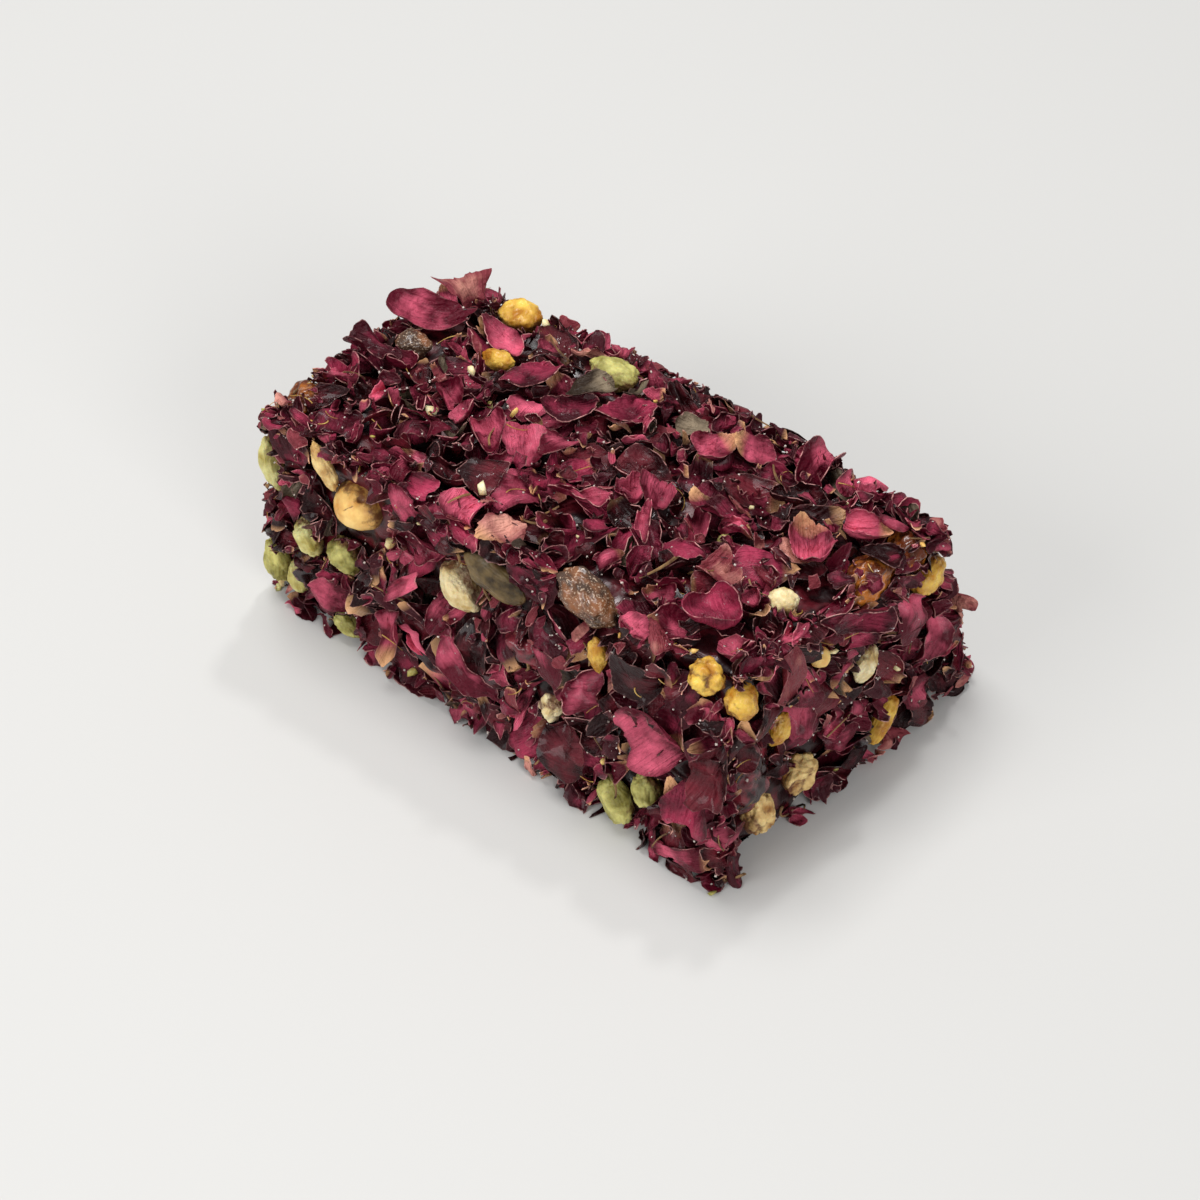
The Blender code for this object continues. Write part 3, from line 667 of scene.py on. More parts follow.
def into_box(places):
    """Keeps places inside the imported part's box and above the base."""
    low, high = (np.array(corner) for corner in CAD_BOX)
    return np.clip(places, low + BOX_GAP, high - BOX_GAP)


def set_places(mesh, places):
    mesh.vertices.foreach_set("co", places.astype(np.float32).ravel())
    mesh.update()


def get_places(mesh):
    places = np.empty(len(mesh.vertices) * 3, np.float32)
    mesh.vertices.foreach_get("co", places)
    return places.reshape(-1, 3).astype(float)


def select_none():
    bpy.ops.object.select_all(action="DESELECT")


def joined_mesh(name, points, faces):
    """One piece made of many like shapes: a row of points for each shape, and the faces that each has."""
    sizes = np.array([len(face) for face in faces])
    loops = np.concatenate([np.array(face) for face in faces])
    count, total = points.shape[:2]
    corners = (loops[None] + np.arange(count)[:, None] * total).ravel()
    starts = np.cumsum(np.tile(sizes, count)) - np.tile(sizes, count)
    mesh = bpy.data.meshes.new(name)
    mesh.vertices.add(count * total)
    mesh.loops.add(len(corners))
    mesh.polygons.add(count * len(faces))
    mesh.loops.foreach_set("vertex_index", corners.astype(np.int32))
    mesh.polygons.foreach_set("loop_start", starts.astype(np.int32))
    set_places(mesh, into_box(points.reshape(-1, 3)))
    mesh.update(calc_edges=True)
    obj = bpy.data.objects.new(name, mesh)
    bpy.context.scene.collection.objects.link(obj)
    select_none()
    bpy.context.view_layer.objects.active = obj
    obj.select_set(True)
    return obj


class Heap:
    """How high what lies on one side of the brick reaches, cell by cell, measured from the brick's skin."""

    OVER = 3.0 * MM  # the heap runs on round the side's edges by this
    SLICES = np.arange(2.6, -1.6, -0.3) * MM  # the depths at which what is set in the gel is looked for
    PAST = 0.6 * MM  # how far over a side's edge a drawn place may lie
    AVOIDED = 9.0 * MM  # how much higher a taken cell counts

    def __init__(self, side):
        values = bpy.context.scene.delight_petals
        self.side = side
        self.cell = values.cell
        self.half = np.array([HALF[i] for i in range(3) if i != SIDES[side][0]])
        self.low = -(self.half + self.OVER)
        counts = np.ceil(-2 * self.low / self.cell).astype(int) + 1
        spots = [self.low[i] + np.arange(counts[i]) * self.cell for i in range(2)]
        along, up = np.meshgrid(*spots, indexing="ij")
        point = side_point(side, along, up)
        self.height = -gel_depth(point)
        self.taken = np.zeros(along.shape, bool)
        for depth in self.SLICES:
            place = skin(point, np.full_like(along, depth))
            for name, _, *where, size, turn, _ in KERNELS:
                off = self.set_in(place, depth, *kernel_frame(*where, turn), size)
                self.taken |= off < CLEARED.get(name, CLEARED_ELSE)
            for _, *where, size in LOBES:
                self.set_in(place, depth, *kernel_frame(*where, NOT_TURNED), size)

    def set_in(self, place, depth, middle, turned, size):
        """Raises the heap where places lie inside a kernel or lobe, and says how far off they all lie."""
        off = (((place - middle) @ turned / (np.array(size) * MM / 2)) ** 2).sum(-1)
        self.height[off < 1] = np.maximum(self.height[off < 1], -depth)
        return off

    def area(self):
        """Square centimetres of the side."""
        return 4 * self.half[0] * self.half[1] / MM**2 / 100

    def cells(self, along, up):
        i = np.clip(((along - self.low[0]) / self.cell + 0.5).astype(int), 0, self.height.shape[0] - 1)
        j = np.clip(((up - self.low[1]) / self.cell + 0.5).astype(int), 0, self.height.shape[1] - 1)
        return i, j

    def spot(self, rng, tries, reach):
        """The lowest of several drawn places."""
        edge = self.half + self.PAST
        along = np.array([rng.uniform(-edge[0], edge[0]) for _ in range(tries)])
        up = np.array([rng.uniform(-edge[1], edge[1]) for _ in range(tries)])
        around = np.array([(0, 0), (1, 0), (-1, 0), (0, 1), (0, -1)]) * reach
        i, j = self.cells(along[:, None] + around[:, 0], up[:, None] + around[:, 1])
        best = np.argmin(self.height[i, j].mean(1) + self.AVOIDED * self.taken[i, j].mean(1))
        return along[best], up[best]


HEAPS = {}  # the heap on each side, once the petals are laid
SLOTS = {
    "toasted": "toasted_nut",
    "yellow": "yellow_pistachio",
    "golden": "yellow_pistachio",
    "walnut": "pale_nut",
    "green": "green_pistachio",
    "pale": "pale_nut",
    "seed": "green_seed",
    "gel": "amber_gel",
}


def finer(count, times):
    """A matrix that puts times as many points between those of a row, in line with them."""
    fine = np.linspace(0, count - 1, (count - 1) * times + 1)
    return np.maximum(1 - np.abs(fine[:, None] - np.arange(count)), 0)


def widened(grid, cells):
    """The highest value within so many cells of each, and a smooth sheet over those."""
    for axis in (0, 1):
        grid = np.max([np.roll(grid, step, axis) for step in range(-cells, cells + 1)], 0)
    for axis in (0, 1):
        grid = np.mean([np.roll(grid, step, axis) for step in range(-cells, cells + 1)], 0)
    return grid


def petal_form(rng, grid, length, width, curl, ragged, torn):
    """A petal's middle surface, ring by ring: along, aside and over the flat petal, and its rim's reach."""
    rings, count = grid
    angle = np.arange(count) / count * math.tau
    flat = np.array((0.5 * np.cos(angle) * length, 0.5 * np.sin(angle) * (1 + 0.3 * np.cos(angle)) * width))
    reach = np.linalg.norm(flat, axis=0)
    way = flat / reach

    # The outline swells smoothly on its way round, may be notched at its tip or torn, and is a little frayed
    off_tip = np.minimum(angle, math.tau - angle)
    swell = sum(rng.gauss(0, 1) / k**0.7 * np.sin(k * angle + rng.uniform(0, math.tau)) for k in range(2, 9))
    outline = 1 + ragged * swell - rng.choice(NOTCHES) * np.exp(-((off_tip / 0.35) ** 2))
    for _ in range(torn):
        turned = (angle - rng.uniform(0, math.tau) + math.pi) % math.tau - math.pi
        inside = np.clip(2 * (1 - np.abs(turned) / rng.uniform(*TEAR_WIDTH)), 0, 1)
        jag = np.array([rng.uniform(0.8, 1.2) for _ in range(count)])
        outline -= inside * rng.uniform(*TEAR_DEPTH) * jag
    fray = rng.uniform(*FRAY) * MM
    outline += np.array([rng.gauss(0, 1) for _ in range(count)]) * fray / reach
    outline = np.clip(outline, 0.3, 1.5)
    even = rng.gauss(0.35, 0.6)
    waves = sum(rng.gauss(0, 0.45) * np.sin(k * angle + rng.uniform(0, 6)) for k in (1, 2, 3))
    rolled = curl * (even + waves)

    points = []
    out, over, last = 0 * angle, 0 * angle, 0
    for ring in rings:
        step = (ring * (1 + (outline - 1) * ring**2) - last * (1 + (outline - 1) * last**2)) * reach
        bend = np.clip(rolled * 1.3, -1.2, 2.2) * max(ring - 0.5, 0) * 2
        out, over, last = out + step * np.cos(bend), over + step * np.sin(bend), ring
        points.append((way[0] * out, way[1] * out, over))
    x, y, z = np.moveaxis(np.array(points), 1, 0)

    # Cupped, twisted, rolled into a boat, folded and wrinkled
    cup, twist, dish = (rng.gauss(0, 0.5) * curl for _ in range(3))
    z = z + (cup * x * x + 1.5 * twist * x * y + dish * y * y) / length
    boat = rng.choice(BOATS) * rng.choice((-1, 1, 1)) * max(curl, 0.3)
    half_way = boat * y / (width / 2)
    y = np.sin(half_way) / boat * width / 2
    z = z + (1 - np.cos(half_way)) / boat * width / 2
    fold, crease = rng.choice(FOLDS) * curl, rng.uniform(-0.5, 0.5) * width / 2
    z = z + fold * np.abs(y - crease)
    y = y / math.sqrt(1 + fold**2)
    for _ in range(WRINKLES):
        turn, start = rng.gauss(math.pi / 2, 0.6), rng.uniform(0, math.tau)
        pitch = rng.uniform(*WRINKLE_PITCH) * MM
        rising = math.tau / pitch * (x * math.cos(turn) + y * math.sin(turn)) + start
        ridges = 1 - 2 * np.abs(np.sin(rising / 2))
        z = z + WRINKLE_HEIGHT * pitch * max(curl, 0.6) * ridges * (0.5 + x / length)
    return x, y, z, outline * reach


class PetalPile:
    """Petals of one kind and one grid, gathered to be made into one mesh."""

    def __init__(self, grid):
        self.rings, self.count = grid
        self.middles = []
        self.looks = []

    def shells(self, thickness):
        """Both faces of every petal, half the thickness off its middle surface, the middle point first."""
        middle = np.array(self.middles)
        centre = middle[:, :1].mean(2, keepdims=True)
        rings = np.concatenate((np.broadcast_to(centre, middle[:, :1].shape), middle), 1)
        round_way = np.roll(middle, -1, 2) - np.roll(middle, 1, 2)
        normal = np.cross(np.gradient(rings, axis=1)[:, 1:], round_way)
        normal /= np.maximum(np.linalg.norm(normal, axis=-1, keepdims=True), NO_AREA)
        points = np.concatenate((centre[:, 0], middle.reshape(len(middle), -1, 3)), 1)
        offset = np.concatenate((normal[:, 0].mean(1, keepdims=True), normal.reshape(len(middle), -1, 3)), 1)
        return np.stack((points + offset * thickness / 2, points - offset * thickness / 2), 1)

    def faces(self):
        """One petal's faces: its top, its underside and its rim."""
        total = 1 + len(self.rings) * self.count
        here = np.arange(self.count)
        following = np.roll(here, -1)
        fan = [(0, 1 + a, 1 + b) for a, b in zip(here, following)]
        quads = []
        for ring in range(len(self.rings) - 1):
            inner, outer = 1 + ring * self.count, 1 + (ring + 1) * self.count
            quads += [(inner + a, outer + a, outer + b, inner + b) for a, b in zip(here, following)]
        top = fan + quads
        under = [tuple(i + total for i in reversed(face)) for face in top]
        last = total - self.count
        edge = [(last + a, last + a + total, last + b + total, last + b) for a, b in zip(here, following)]
        return top + under + edge

    def make(self, name, thickness):
        shells = self.shells(thickness)
        count = len(shells)
        obj = joined_mesh(name, shells.reshape(count, -1, 3), self.faces())
        looks = np.array(self.looks)
        looks = np.broadcast_to(looks[:, :, None], (count, 2, 2, *looks.shape[2:]))
        for number, title in enumerate(("petal_place", "petal_looks")):
            attribute = obj.data.attributes.new(title, "FLOAT_VECTOR", "POINT")
            attribute.data.foreach_set("vector", np.ascontiguousarray(looks[:, number], np.float32).ravel())
        bpy.ops.object.shade_smooth_by_angle(angle=SMOOTH_UNDER)
        return obj


def petal_looks(form, rings, length, fate, shade):
    """What the material reads at each point of a petal.

    First come the point's place on the flat petal, in mm, and the petal's fate: a chance of its own, and 1
    more where it is soaked in gel. Then come how far the point lies along and from the rim, and the shade.
    """
    x, y, _, reach = form
    rim = (1 - np.array(rings))[:, None] * reach / MM
    place = np.stack((x / MM, y / MM, np.full_like(x, fate)), -1)
    looks = np.stack((np.clip(x / length + 0.5, 0, 1), rim, np.full_like(x, shade)), -1)
    middle = np.array(((0, 0, fate), (0.5, reach.mean() / MM, shade)))
    return np.concatenate((middle[:, None], np.stack((place, looks)).reshape(2, -1, 3)), 1)


def lay_petal(heap, pile, form, spot, turn, lean, roll, tip, reach, looks, strict=True):
    """Lays one petal on a heap: it leans, settles on what is under it, and then counts as heap itself.

    It isn't laid where it would lie over a taken place or, when strict, stand out too far.
    """
    x, y, z, _ = form
    y, z = y * math.cos(roll) - z * math.sin(roll), y * math.sin(roll) + z * math.cos(roll)
    x, z = x * math.cos(lean) - z * math.sin(lean), x * math.sin(lean) + z * math.cos(lean)
    x, y = x * math.cos(turn) - y * math.sin(turn), x * math.sin(turn) + y * math.cos(turn)
    y, z = y * math.cos(tip) + z * math.sin(tip), z * math.cos(tip) - y * math.sin(tip)
    along, up = spot[0] + x, spot[1] + y
    folded = 0
    if heap.side != "top":
        foot = FOOT_HEIGHT - heap.half[1]
        up += max(foot - FOOT_FOLD - up.min(), 0)
        folded = np.maximum(foot - up, 0)
        up = np.maximum(up, foot) + FOOT_SLOPE * folded
    i, j = heap.cells(along, up)
    if heap.taken[i, j].mean() > OVERLAP:
        return False

    # It bends with the ground, which is the heap under and around it, and is raised until it clears most
    low = max(i.min() - 4, 0), max(j.min() - 4, 0)
    patch = widened(heap.height[low[0] : i.max() + 5, low[1] : j.max() + 5], 1)
    ground = patch[i - low[0], j - low[1]] + LIFT
    off = (along.ravel() - spot[0]) / MM, (up.ravel() - spot[1]) / MM
    bends = np.stack((np.ones(x.size), *off, off[0] ** 2, off[0] * off[1], off[1] ** 2), 1)
    bends = bends @ np.linalg.lstsq(bends, ground.ravel(), rcond=None)[0]
    height = bends.reshape(x.shape) + z - np.quantile(z, 0.2) + folded
    height += max(np.quantile(ground - height, 0.75), 0)
    height = np.maximum(height, ground)

    # What would stand out too far is pressed down softly
    room = np.minimum(headroom(heap.side, along, up), reach)
    if strict and (height - room).max() > TOO_HIGH:
        return False
    pressed = room - PRESSED + PRESSED * np.tanh((height - room + PRESSED) / PRESSED)
    height = np.where(height > room - PRESSED, pressed, height)
    grids = [np.concatenate((np.broadcast_to(g[:1].mean(), g[:1].shape), g)) for g in (along, up, height)]
    rows, columns = finer(x.shape[0] + 1, 4), finer(x.shape[1] + 1, 3)
    fine = [rows @ np.concatenate((g, g[:, :1]), 1) @ columns.T for g in grids]
    np.maximum.at(heap.height, heap.cells(*fine[:2]), fine[2])
    middle = side_place(heap.side, along, up, -height)
    if not SIDES[heap.side][2]:
        middle, looks = middle[:, ::-1], mirrored(looks, *x.shape)
    pile.middles.append(middle)
    pile.looks.append(looks)
    return True


def mirrored(looks, rings, count):
    """Looks of a petal whose points go round the other way."""
    rest = looks[:, 1:].reshape(2, rings, count, 3)[:, :, ::-1]
    return np.concatenate((looks[:, :1], rest.reshape(2, -1, 3)), 1)


class DELIGHT_OT_gel(bpy.types.Operator):
    """Adds the brick of gel that everything is set in"""

    bl_idname = "delight.gel"
    bl_label = "Gel Brick"

    def execute(self, context):
        values = context.scene.delight_gel
        select_none()
        bpy.ops.mesh.primitive_cube_add(size=2)
        brick = context.object
        brick.name = brick.data.name = "gel_brick"
        bpy.ops.object.mode_set(mode="EDIT")
        bpy.ops.mesh.select_all(action="SELECT")
        bpy.ops.mesh.subdivide(number_cuts=values.cuts)
        bpy.ops.object.mode_set(mode="OBJECT")
        points = get_places(brick.data) * HALF
        places = skin(points, gel_depth(points) + GEL_UNDER)
        places[points[:, 2] < FOOT_HEIGHT - HALF[2], 2] = 0
        set_places(brick.data, into_box(places))
        bpy.ops.object.shade_smooth()
        # Its dark tones stand partly for painted shade in the hollows between the petals
        gel = gel_material("dark_rose_gel", *tones(values, "deep"), 0.2, 0.0)
        finished(brick, gel, "petals_in_gel", "rose_petal_brick")
        gel_material("sugared_amber_gel", *tones(values, "amber"), 0.1, 0.6)
        amber = gel_material("clear_amber_gel", *tones(values, "bare"), 0.06, 0.1)
        red = gel_material("clear_red_gel", *tones(values, "red"), 0.1, 0.0)
        looks = {"amber": (amber, "amber_gel"), "red": (red, "petals_in_gel")}
        for number, (colour, *where, size) in enumerate(LOBES):
            lobe = self.lobe(f"{colour}_lobe_{number}", 5.0 * number, *where, size)
            finished(lobe, *looks[colour], "rose_petal_brick")
        return {"FINISHED"}

    def lobe(self, name, seed, side, spot, depth, size):
        """A lumpy ball of gel that stands out between the petals."""
        middle, _ = kernel_frame(side, spot, depth, NOT_TURNED)
        select_none()
        bpy.ops.mesh.primitive_ico_sphere_add(subdivisions=5, radius=1)
        made = bpy.context.object
        made.name = made.data.name = name
        ball = get_places(made.data)
        lumps = noise_at(ball, 0.7, seed) + 0.5 * noise_at(ball, 0.3, seed)
        places = ball * (1 + 0.3 * lumps)[:, None] * np.array(size) * MM / 2 + middle
        set_places(made.data, into_box(places))
        bpy.ops.object.shade_smooth()
        return made


class DELIGHT_OT_petals(bpy.types.Operator):
    """Clads the brick in dried petals, layer by layer"""

    bl_idname = "delight.petals"
    bl_label = "Petals"

    def execute(self, context):
        values = context.scene.delight_petals
        piles = {(kind, title): PetalPile(grid) for kind in PETALS for title, grid in GRIDS.items()}
        for side in SIDES:
            self.clad(side, values, piles)
        for kind, shine in PETALS.items():
            material = petal_material(kind, *tones(values, kind), *shine)
            for title in GRIDS:
                if piles[kind, title].middles:
                    piece = piles[kind, title].make(f"{kind}_{title}", values.thickness)
                    finished(piece, material, "petals_in_gel", "rose_petal_brick")
        return {"FINISHED"}

    def clad(self, side, values, piles):
        """Lays every layer of one side's loose petals, and among them the petals that stand out."""
        rng = random.Random(f"{side} {values.seed}")
        heap = HEAPS[side] = Heap(side)
        tip, uneven, free, soaked = SHINGLED[side]
        for number, (title, crowd, sizes, curl, lean, ragged, kinds) in enumerate(LAYERS):
            for _ in range(round(heap.area() * crowd * values.amount)):
                pile = piles[rng.choices(list(PETALS), kinds)[0], title]
                length = rng.uniform(*sizes) * MM
                width = length * rng.uniform(*PETAL_WIDTH)
                torn = rng.choice((0, 0, 0, 1))
                form = petal_form(rng, (pile.rings, pile.count), length, width, curl * free, ragged, torn)
                fate = rng.uniform(0, 0.99) + (rng.random() < soaked)
                looks = petal_looks(form, pile.rings, length, fate, rng.random())
                leans = [rng.gauss(0, lean * free), rng.gauss(0, lean * free), rng.gauss(tip, uneven)]
                turn = rng.uniform(0, math.tau)
                reach = values.reach * rng.uniform(0.3, 1) * free
                for _ in range(PLACES_TRIED):
                    spot = heap.spot(rng, DRAWN, length / 3)
                    if lay_petal(heap, pile, form, spot, turn, *leans, reach, looks):
                        break
            if number == HERO_LAYER:
                self.lay_heroes(heap, piles)

    def lay_heroes(self, heap, piles):
        """Lays the petals that stand out, and keeps later ones off them."""
        kept = []
        for number, (side, spot, size, turn, kind, shade, curl, rise, based) in enumerate(HEROES):
            if side == heap.side:
                rng = random.Random(number)
                pile = piles[kind, "large"]
                length, width = (value * MM for value in size)
                grid = pile.rings, pile.count
                form = petal_form(rng, grid, length, width, curl, HERO_RAGGED, rng.choice((0, 0, 1)))
                fate = (0.9 if based else rng.uniform(0.1, 0.6)) + (side != "top")
                looks = petal_looks(form, pile.rings, length, fate, shade)
                spot = [value * MM for value in spot]
                tip = SHINGLED[side][0] / 2
                turn = math.radians(turn)
                lay_petal(heap, pile, form, spot, turn, rise, 0.0, tip, HERO_REACH, looks, strict=False)
                kept.append(heap.cells(*(spot[a] + g.ravel() * HERO_KEPT for a, g in enumerate(form[:2]))))
        for cells in kept:
            heap.taken[cells] = True


def kernel_materials():
    """The materials of the kernels and of what is crushed or strewn with them."""
    values = bpy.context.scene.delight_kernels
    made = {}
    for kind, roughness, bumps in (
        ("toasted", 0.4, 0.05),
        ("yellow", 0.42, 0.1),
        ("golden", 0.3, 0.1),
        ("walnut", 0.5, 0.2),
        ("green", 0.45, 0.12),
        ("pale", 0.55, 0.22),
        ("seed", 0.42, 0.08),
        ("stalk", 0.55, 0.08),
        ("stamen", 0.5, 0.02),
    ):
        known = bpy.data.materials.get(f"{kind}_kernel")
        looks = *tones(values, kind), tuple(values.stain), roughness, bumps * MM
        made[kind] = known or kernel_material(kind, *looks)
    made["gel"] = bpy.data.materials["sugared_amber_gel"]
    return made


class DELIGHT_OT_kernels(bpy.types.Operator):
    """Adds the nuts, the seed and the clear lump of gel"""

    bl_idname = "delight.kernels"
    bl_label = "Nuts and Seeds"

    # How deep a kernel's relief and creases go, as shares of its size, and how long its relief's lumps are
    RELIEF = {
        "toasted": (0.03, 0.0, (0.5, 0.5, 0.5)),
        "yellow": (0.1, 0.04, (0.35, 0.35, 0.7)),
        "golden": (0.1, 0.04, (0.35, 0.35, 0.7)),
        "green": (0.1, 0.05, (0.35, 0.35, 0.7)),
        "pale": (0.1, 0.04, (0.4, 0.4, 0.7)),
        "seed": (0.04, 0.02, (0.9, 0.1, 0.16)),
        "gel": (0.2, 0.0, (0.7, 0.6, 0.8)),
        "walnut": (0.1, 0.07, (0.38, 0.38, 0.5)),
    }
    EYE = (0.12, 0.004)  # how deep a hazelnut's eye goes, and how wide it is, as one less the cosine
    CRACK = (0.5, 0.02, 0.025)  # its cracks' depth beside the eye's, half width, and how softly they end
    KNOB = (0.24, 0.22, 0.12)  # the depth of the gaps between knobs, and how wide and uneven knobs are
    KNOB_TURN = 2.4  # between two knobs on their spiral, in radians

    def execute(self, context):
        values = context.scene.delight_kernels
        materials = kernel_materials()
        for kernel in KERNELS:
            self.kernel(values, materials[kernel[1]], *kernel)
        return {"FINISHED"}

    def kernel(self, values, material, name, kind, side, spot, depth, size, turn, broken):
        rng = random.Random(name)
        breaks = []
        for _ in range(broken):
            way = np.array(Vector([rng.gauss(0, 1) for _ in range(3)]).normalized())
            breaks.append((way, rng.uniform(*BROKEN_AT)))
        own_place = np.array([rng.uniform(0, 50) for _ in range(3)])
        select_none()
        bpy.ops.mesh.primitive_ico_sphere_add(subdivisions=values.level, radius=1)
        made = bpy.context.object
        made.name = made.data.name = f"{name}_kernel" if kind != "gel" else f"{name}_clear"
        ball = get_places(made.data)
        strength, lump = KERNEL_LUMPS
        form = ball * (1 + strength * noise_at(ball, lump, own_place))[:, None]
        for way, reach in breaks:
            past = np.maximum(form @ way - reach, 0)
            form = form - way * past[:, None] * 0.9
        if kind == "seed":
            waist, stretch = SEED_WAIST
            form[:, 2] *= 1 - waist * np.exp(-((form[:, 0] / stretch) ** 2))

        # Relief and creases, a hazelnut's eye, and the gaps between a cluster's knobs
        relief, crease, lumps = self.RELIEF[kind]
        lumps = np.array(lumps)
        lumpy = noise_at(ball, lumps, own_place + 9) + 0.5 * noise_at(ball, lumps / 2.6, own_place + 20)
        creased = np.exp(-((noise_at(ball, lumps * 1.3, own_place + 30) / 0.09) ** 2))
        eye = self.eye(ball) if name == "hazelnut" else 0
        gaps = self.gaps(ball, rng, KNOBS[name]) if name in KNOBS else 0
        swell = 1.04 - relief * (0.5 + lumpy) - crease * creased - self.EYE[0] * eye - self.KNOB[0] * gaps
        form *= swell[:, None]
        middle, turned = kernel_frame(side, spot, depth, turn)
        away = (form * np.array(size) * MM / 2) @ turned.T
        set_places(made.data, into_box(away + middle))

        # Stains from petals and gel, and painted shade, darken it in its creases, cracks and eye, between its
        # knobs and where it goes under the petals
        axis, way, _ = SIDES[side]
        out = away[:, axis] * way
        if abs(spot[1]) > 10:
            out = np.maximum(out, away[:, 2])
        under = np.clip(0.8 - (out / MM - depth + 1.1) / 1.4, 0, 1)
        stain = np.clip(under * 0.6 + creased * crease * 3 + 1.6 * eye + 0.6 * gaps, 0, 1.5)
        attribute = made.data.attributes.new("kernel_stain", "FLOAT", "POINT")
        attribute.data.foreach_set("value", stain.astype(np.float32))
        bpy.ops.object.shade_smooth()
        finished(made, material, SLOTS[kind], name)

    def eye(self, ball):
        """How far each point lies in a hazelnut's eye or in the cracks in its skin, from 0 to 1."""
        depth, half, soft = self.CRACK
        sunk = np.exp(-np.maximum(1 - ball @ HAZELNUT_EYE, 0) / self.EYE[1])
        for start, end in HAZELNUT_CRACKS:
            share = np.clip((ball - start) @ (end - start) / ((end - start) @ (end - start)), 0, 1)
            off = np.linalg.norm(ball - start - share[:, None] * (end - start), axis=1)
            sunk = np.maximum(sunk, depth * np.exp(-((np.maximum(off - half, 0) / soft) ** 2)))
        return sunk

    def gaps(self, ball, rng, count):
        """How far each point lies in the gaps between so many knobs on an even spiral, from 0 to 1."""
        _, wide, uneven = self.KNOB
        steps = np.arange(count) + 0.5
        rise = 1 - 2 * steps / count
        flat = np.sqrt(1 - rise**2)
        turned = self.KNOB_TURN * steps
        knobs = np.stack((flat * np.cos(turned), flat * np.sin(turned), rise), 1)
        knobs += [[rng.gauss(0, uneven) for _ in range(3)] for _ in steps]
        knobs /= np.linalg.norm(knobs, axis=1)[:, None]
        return np.clip((1 - (ball @ knobs.T).max(axis=1)) / wide, 0, 1)


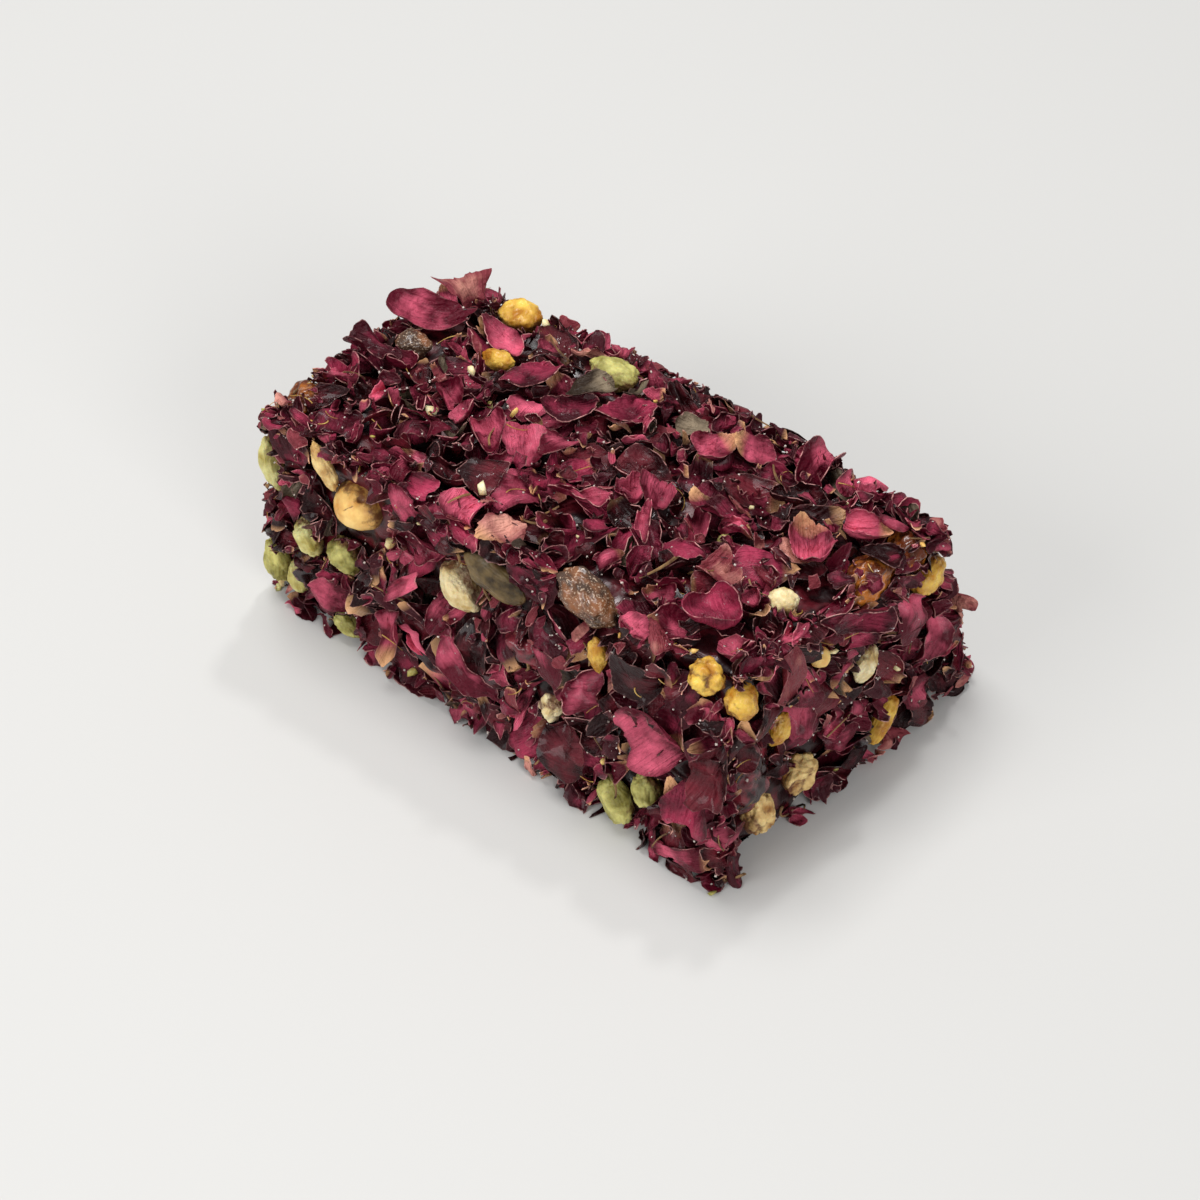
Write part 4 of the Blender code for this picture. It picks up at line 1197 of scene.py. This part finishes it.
class DELIGHT_OT_crumbs(bpy.types.Operator):
    """Strews crumbs of nut, stalks, stamens and sugar over the petals"""

    bl_idname = "delight.crumbs"
    bl_label = "Crumbs and Sugar"

    CUBE = (
        [(x, y, z) for x in (-0.5, 0.5) for y in (-0.5, 0.5) for z in (-0.5, 0.5)],
        [(0, 1, 3, 2), (4, 6, 7, 5), (0, 4, 5, 1), (2, 3, 7, 6), (0, 2, 6, 4), (1, 5, 7, 3)],
    )
    STRAW = (7, 5)  # rings and points round each

    def execute(self, context):
        materials = kernel_materials()
        for kind, crowd, sizes in CRUMBS:
            crumbs = self.strewn(random.Random(kind), crowd, sizes, self.chip(), 0.2, 0.1, 4)
            crumbs = joined_mesh(f"{kind}_crumbs_of_nut", *crumbs)
            finished(crumbs, materials[kind], SLOTS[kind], "rose_petal_brick")
        for kind, values in (("stalk", STALKS), ("stamen", STAMENS)):
            straws = joined_mesh(f"{kind}s", *self.straws(random.Random(kind), *values))
            bpy.ops.object.shade_smooth_by_angle(angle=SMOOTH_UNDER)
            finished(straws, materials[kind], "petals_in_gel", "rose_petal_brick")
        made, tree, shader = new_material("sugar_crystals")
        sugar = {"Base Color": linear(SUGAR_COLOUR), "Roughness": 0.15, "Transmission Weight": 0.4}
        fill_sockets(tree, shader, sugar)
        crystals = self.strewn(random.Random("sugar"), *SUGAR, self.CUBE, 0.1, 0.4, 0)
        finished(joined_mesh("sugar_crystals", *crystals), made, "petals_in_gel", "rose_petal_brick")
        return {"FINISHED"}

    def chip(self):
        """The points and faces of a ball, from which crumbs are made."""
        bpy.ops.mesh.primitive_ico_sphere_add(subdivisions=1, radius=0.5)
        ball = bpy.context.object
        shape = get_places(ball.data), [tuple(face.vertices) for face in ball.data.polygons]
        bpy.data.objects.remove(ball)
        return shape

    def strewn(self, rng, crowd, sizes, shape, uneven, raised, cuts):
        """Copies of a shape, each turned, sized and misshapen its own way, set in the heaps' hollows."""
        points, faces = np.array(shape[0]), shape[1]
        rows = []
        for side, heap in HEAPS.items():
            for _ in range(round(heap.area() * crowd)):
                along, up = heap.spot(rng, 3, 0.5 * MM)
                size = rng.uniform(*sizes) * MM
                i, j = heap.cells(along, up)
                over = heap.height[i, j] + raised * size
                place, _ = kernel_frame(side, (along / MM, up / MM), -over / MM, (0, 0, 0))
                turned = np.array(Euler([rng.uniform(0, math.tau) for _ in range(3)]).to_matrix())
                drawn = np.array([rng.uniform(0.45, 1.3) for _ in range(3)])
                knocks = np.array([[rng.gauss(0, uneven / 2) for _ in range(3)] for _ in points])
                form = points * (1 + knocks)
                for _ in range(cuts):
                    flat = np.array([rng.gauss(0, 1) for _ in range(3)])
                    flat /= np.linalg.norm(flat)
                    form = form - flat * np.maximum(form @ flat - rng.uniform(0.08, 0.3), 0)[:, None] * 0.96
                rows.append(form * drawn * size @ turned.T + place)
        return np.array(rows), faces

    def straws(self, rng, crowd, lengths, thickness):
        """Thin curved stalks that lie along the heaps, each a closed tube that tapers."""
        rings, count = self.STRAW
        share = np.linspace(-0.5, 0.5, rings)
        round_way = np.arange(count) / count * math.tau
        rows = []
        for side, heap in HEAPS.items():
            for _ in range(round(heap.area() * crowd)):
                along, up = heap.spot(rng, 2, 0.5 * MM)
                length, turn, bend = rng.uniform(*lengths) * MM, rng.uniform(0, math.tau), rng.gauss(0, 0.8)
                way = turn + bend * share
                path = along + length * share * np.cos(way), up + length * share * np.sin(way)
                i, j = heap.cells(*path)
                slope = np.polyfit(share, heap.height[i, j], 1)
                over = np.polyval(slope, share) + 0.25 * MM + rng.uniform(-0.3, 0.5) * MM * share
                radius = thickness * MM / 2 * rng.uniform(0.6, 1.2) * (1 - 0.5 * (share + 0.5))
                aside, rise = radius[:, None] * np.cos(round_way), radius[:, None] * np.sin(round_way)
                tube = (
                    path[0][:, None] - aside * np.sin(way)[:, None],
                    path[1][:, None] + aside * np.cos(way)[:, None],
                    -(over[:, None] + rise),
                )
                place = side_place(side, *tube)
                if not SIDES[side][2]:
                    place = place[:, ::-1]
                rows.append(place.reshape(-1, 3))
        faces = [tuple(reversed(range(count))), tuple((rings - 1) * count + i for i in range(count))]
        for ring in range(rings - 1):
            for i in range(count):
                a, b = ring * count + i, ring * count + (i + 1) % count
                faces.append((a, b, b + count, a + count))
        return np.array(rows), faces


class DELIGHT_OT_stage(bpy.types.Operator):
    """Adds the pale floor, the soft light and the camera"""

    bl_idname = "delight.stage"
    bl_label = "Stage"

    def execute(self, context):
        values = context.scene.delight_stage
        select_none()
        bpy.ops.mesh.primitive_plane_add(size=4)
        floor = context.object
        floor.name = "floor"
        made, tree, shader = new_material("pale_matt_floor")
        fill_sockets(tree, shader, {"Base Color": tuple(values.floor), "Roughness": 0.6})
        floor.data.materials.append(made)

        world = bpy.data.worlds.new("soft_sky")
        world.use_nodes = True
        sky = world.node_tree.nodes["Background"]
        sky.inputs["Color"].default_value = linear(SKY_COLOUR)
        sky.inputs["Strength"].default_value = values.sky
        context.scene.world = world

        target = Vector(values.target)
        for name, place, size, power in (
            ("key_light", Vector((-0.2, 0.05, 0.75)), 0.3, values.key),
            ("spark_light", Vector((-0.1, 0.3, 0.7)), 0.05, values.spark),
            ("fill_light", Vector((-0.25, -0.65, 0.45)), 0.4, values.fill),
            ("side_light", Vector((0.7, -0.3, 0.5)), 0.4, values.side),
        ):
            lamp = bpy.data.lights.new(name, "AREA")
            lamp.energy, lamp.size = power, size
            light = bpy.data.objects.new(name, lamp)
            light.location = place
            light.rotation_euler = (target - place).to_track_quat("-Z", "Y").to_euler()
            context.scene.collection.objects.link(light)

        flat, turn = math.cos(values.elevation), values.azimuth
        back = Vector((math.sin(turn) * flat, -math.cos(turn) * flat, math.sin(values.elevation)))
        turned = (-back).to_track_quat("-Z", "Y").to_matrix()
        turned = turned @ Euler((0, 0, values.roll)).to_matrix()
        lens = bpy.data.cameras.new("camera")
        lens.lens, lens.sensor_width, lens.clip_start = values.lens, 36.0, 0.01
        camera = bpy.data.objects.new("camera", lens)
        camera.location = target + back * values.distance
        camera.rotation_euler = turned.to_euler()
        context.scene.collection.objects.link(camera)
        context.scene.camera = camera
        context.scene.view_settings.view_transform = "Standard"
        return {"FINISHED"}


OPERATORS = (DELIGHT_OT_gel, DELIGHT_OT_petals, DELIGHT_OT_kernels, DELIGHT_OT_crumbs, DELIGHT_OT_stage)


class DELIGHT_PT_panel(bpy.types.Panel):
    """Lists what builds the brick"""

    bl_idname = "DELIGHT_PT_panel"
    bl_label = "Rose Turkish Delight"
    bl_space_type = "VIEW_3D"
    bl_region_type = "UI"
    bl_category = "Delight"

    def draw(self, context):
        for operator in OPERATORS:
            self.layout.operator(operator.bl_idname)


VALUES = {"gel": GelValues, "petals": PetalValues, "kernels": KernelValues, "stage": StageValues}
CLASSES = (*VALUES.values(), *OPERATORS, DELIGHT_PT_panel)


def register():
    for made in CLASSES:
        bpy.utils.register_class(made)
    for name, group in VALUES.items():
        setattr(bpy.types.Scene, f"delight_{name}", PointerProperty(type=group))


def unregister():
    for name in VALUES:
        delattr(bpy.types.Scene, f"delight_{name}")
    for made in reversed(CLASSES):
        bpy.utils.unregister_class(made)


def main():
    register()
    bpy.ops.delight.gel()
    bpy.ops.delight.petals()
    bpy.ops.delight.kernels()
    bpy.ops.delight.crumbs()
    bpy.ops.delight.stage()


if __name__ == "__main__":
    main()
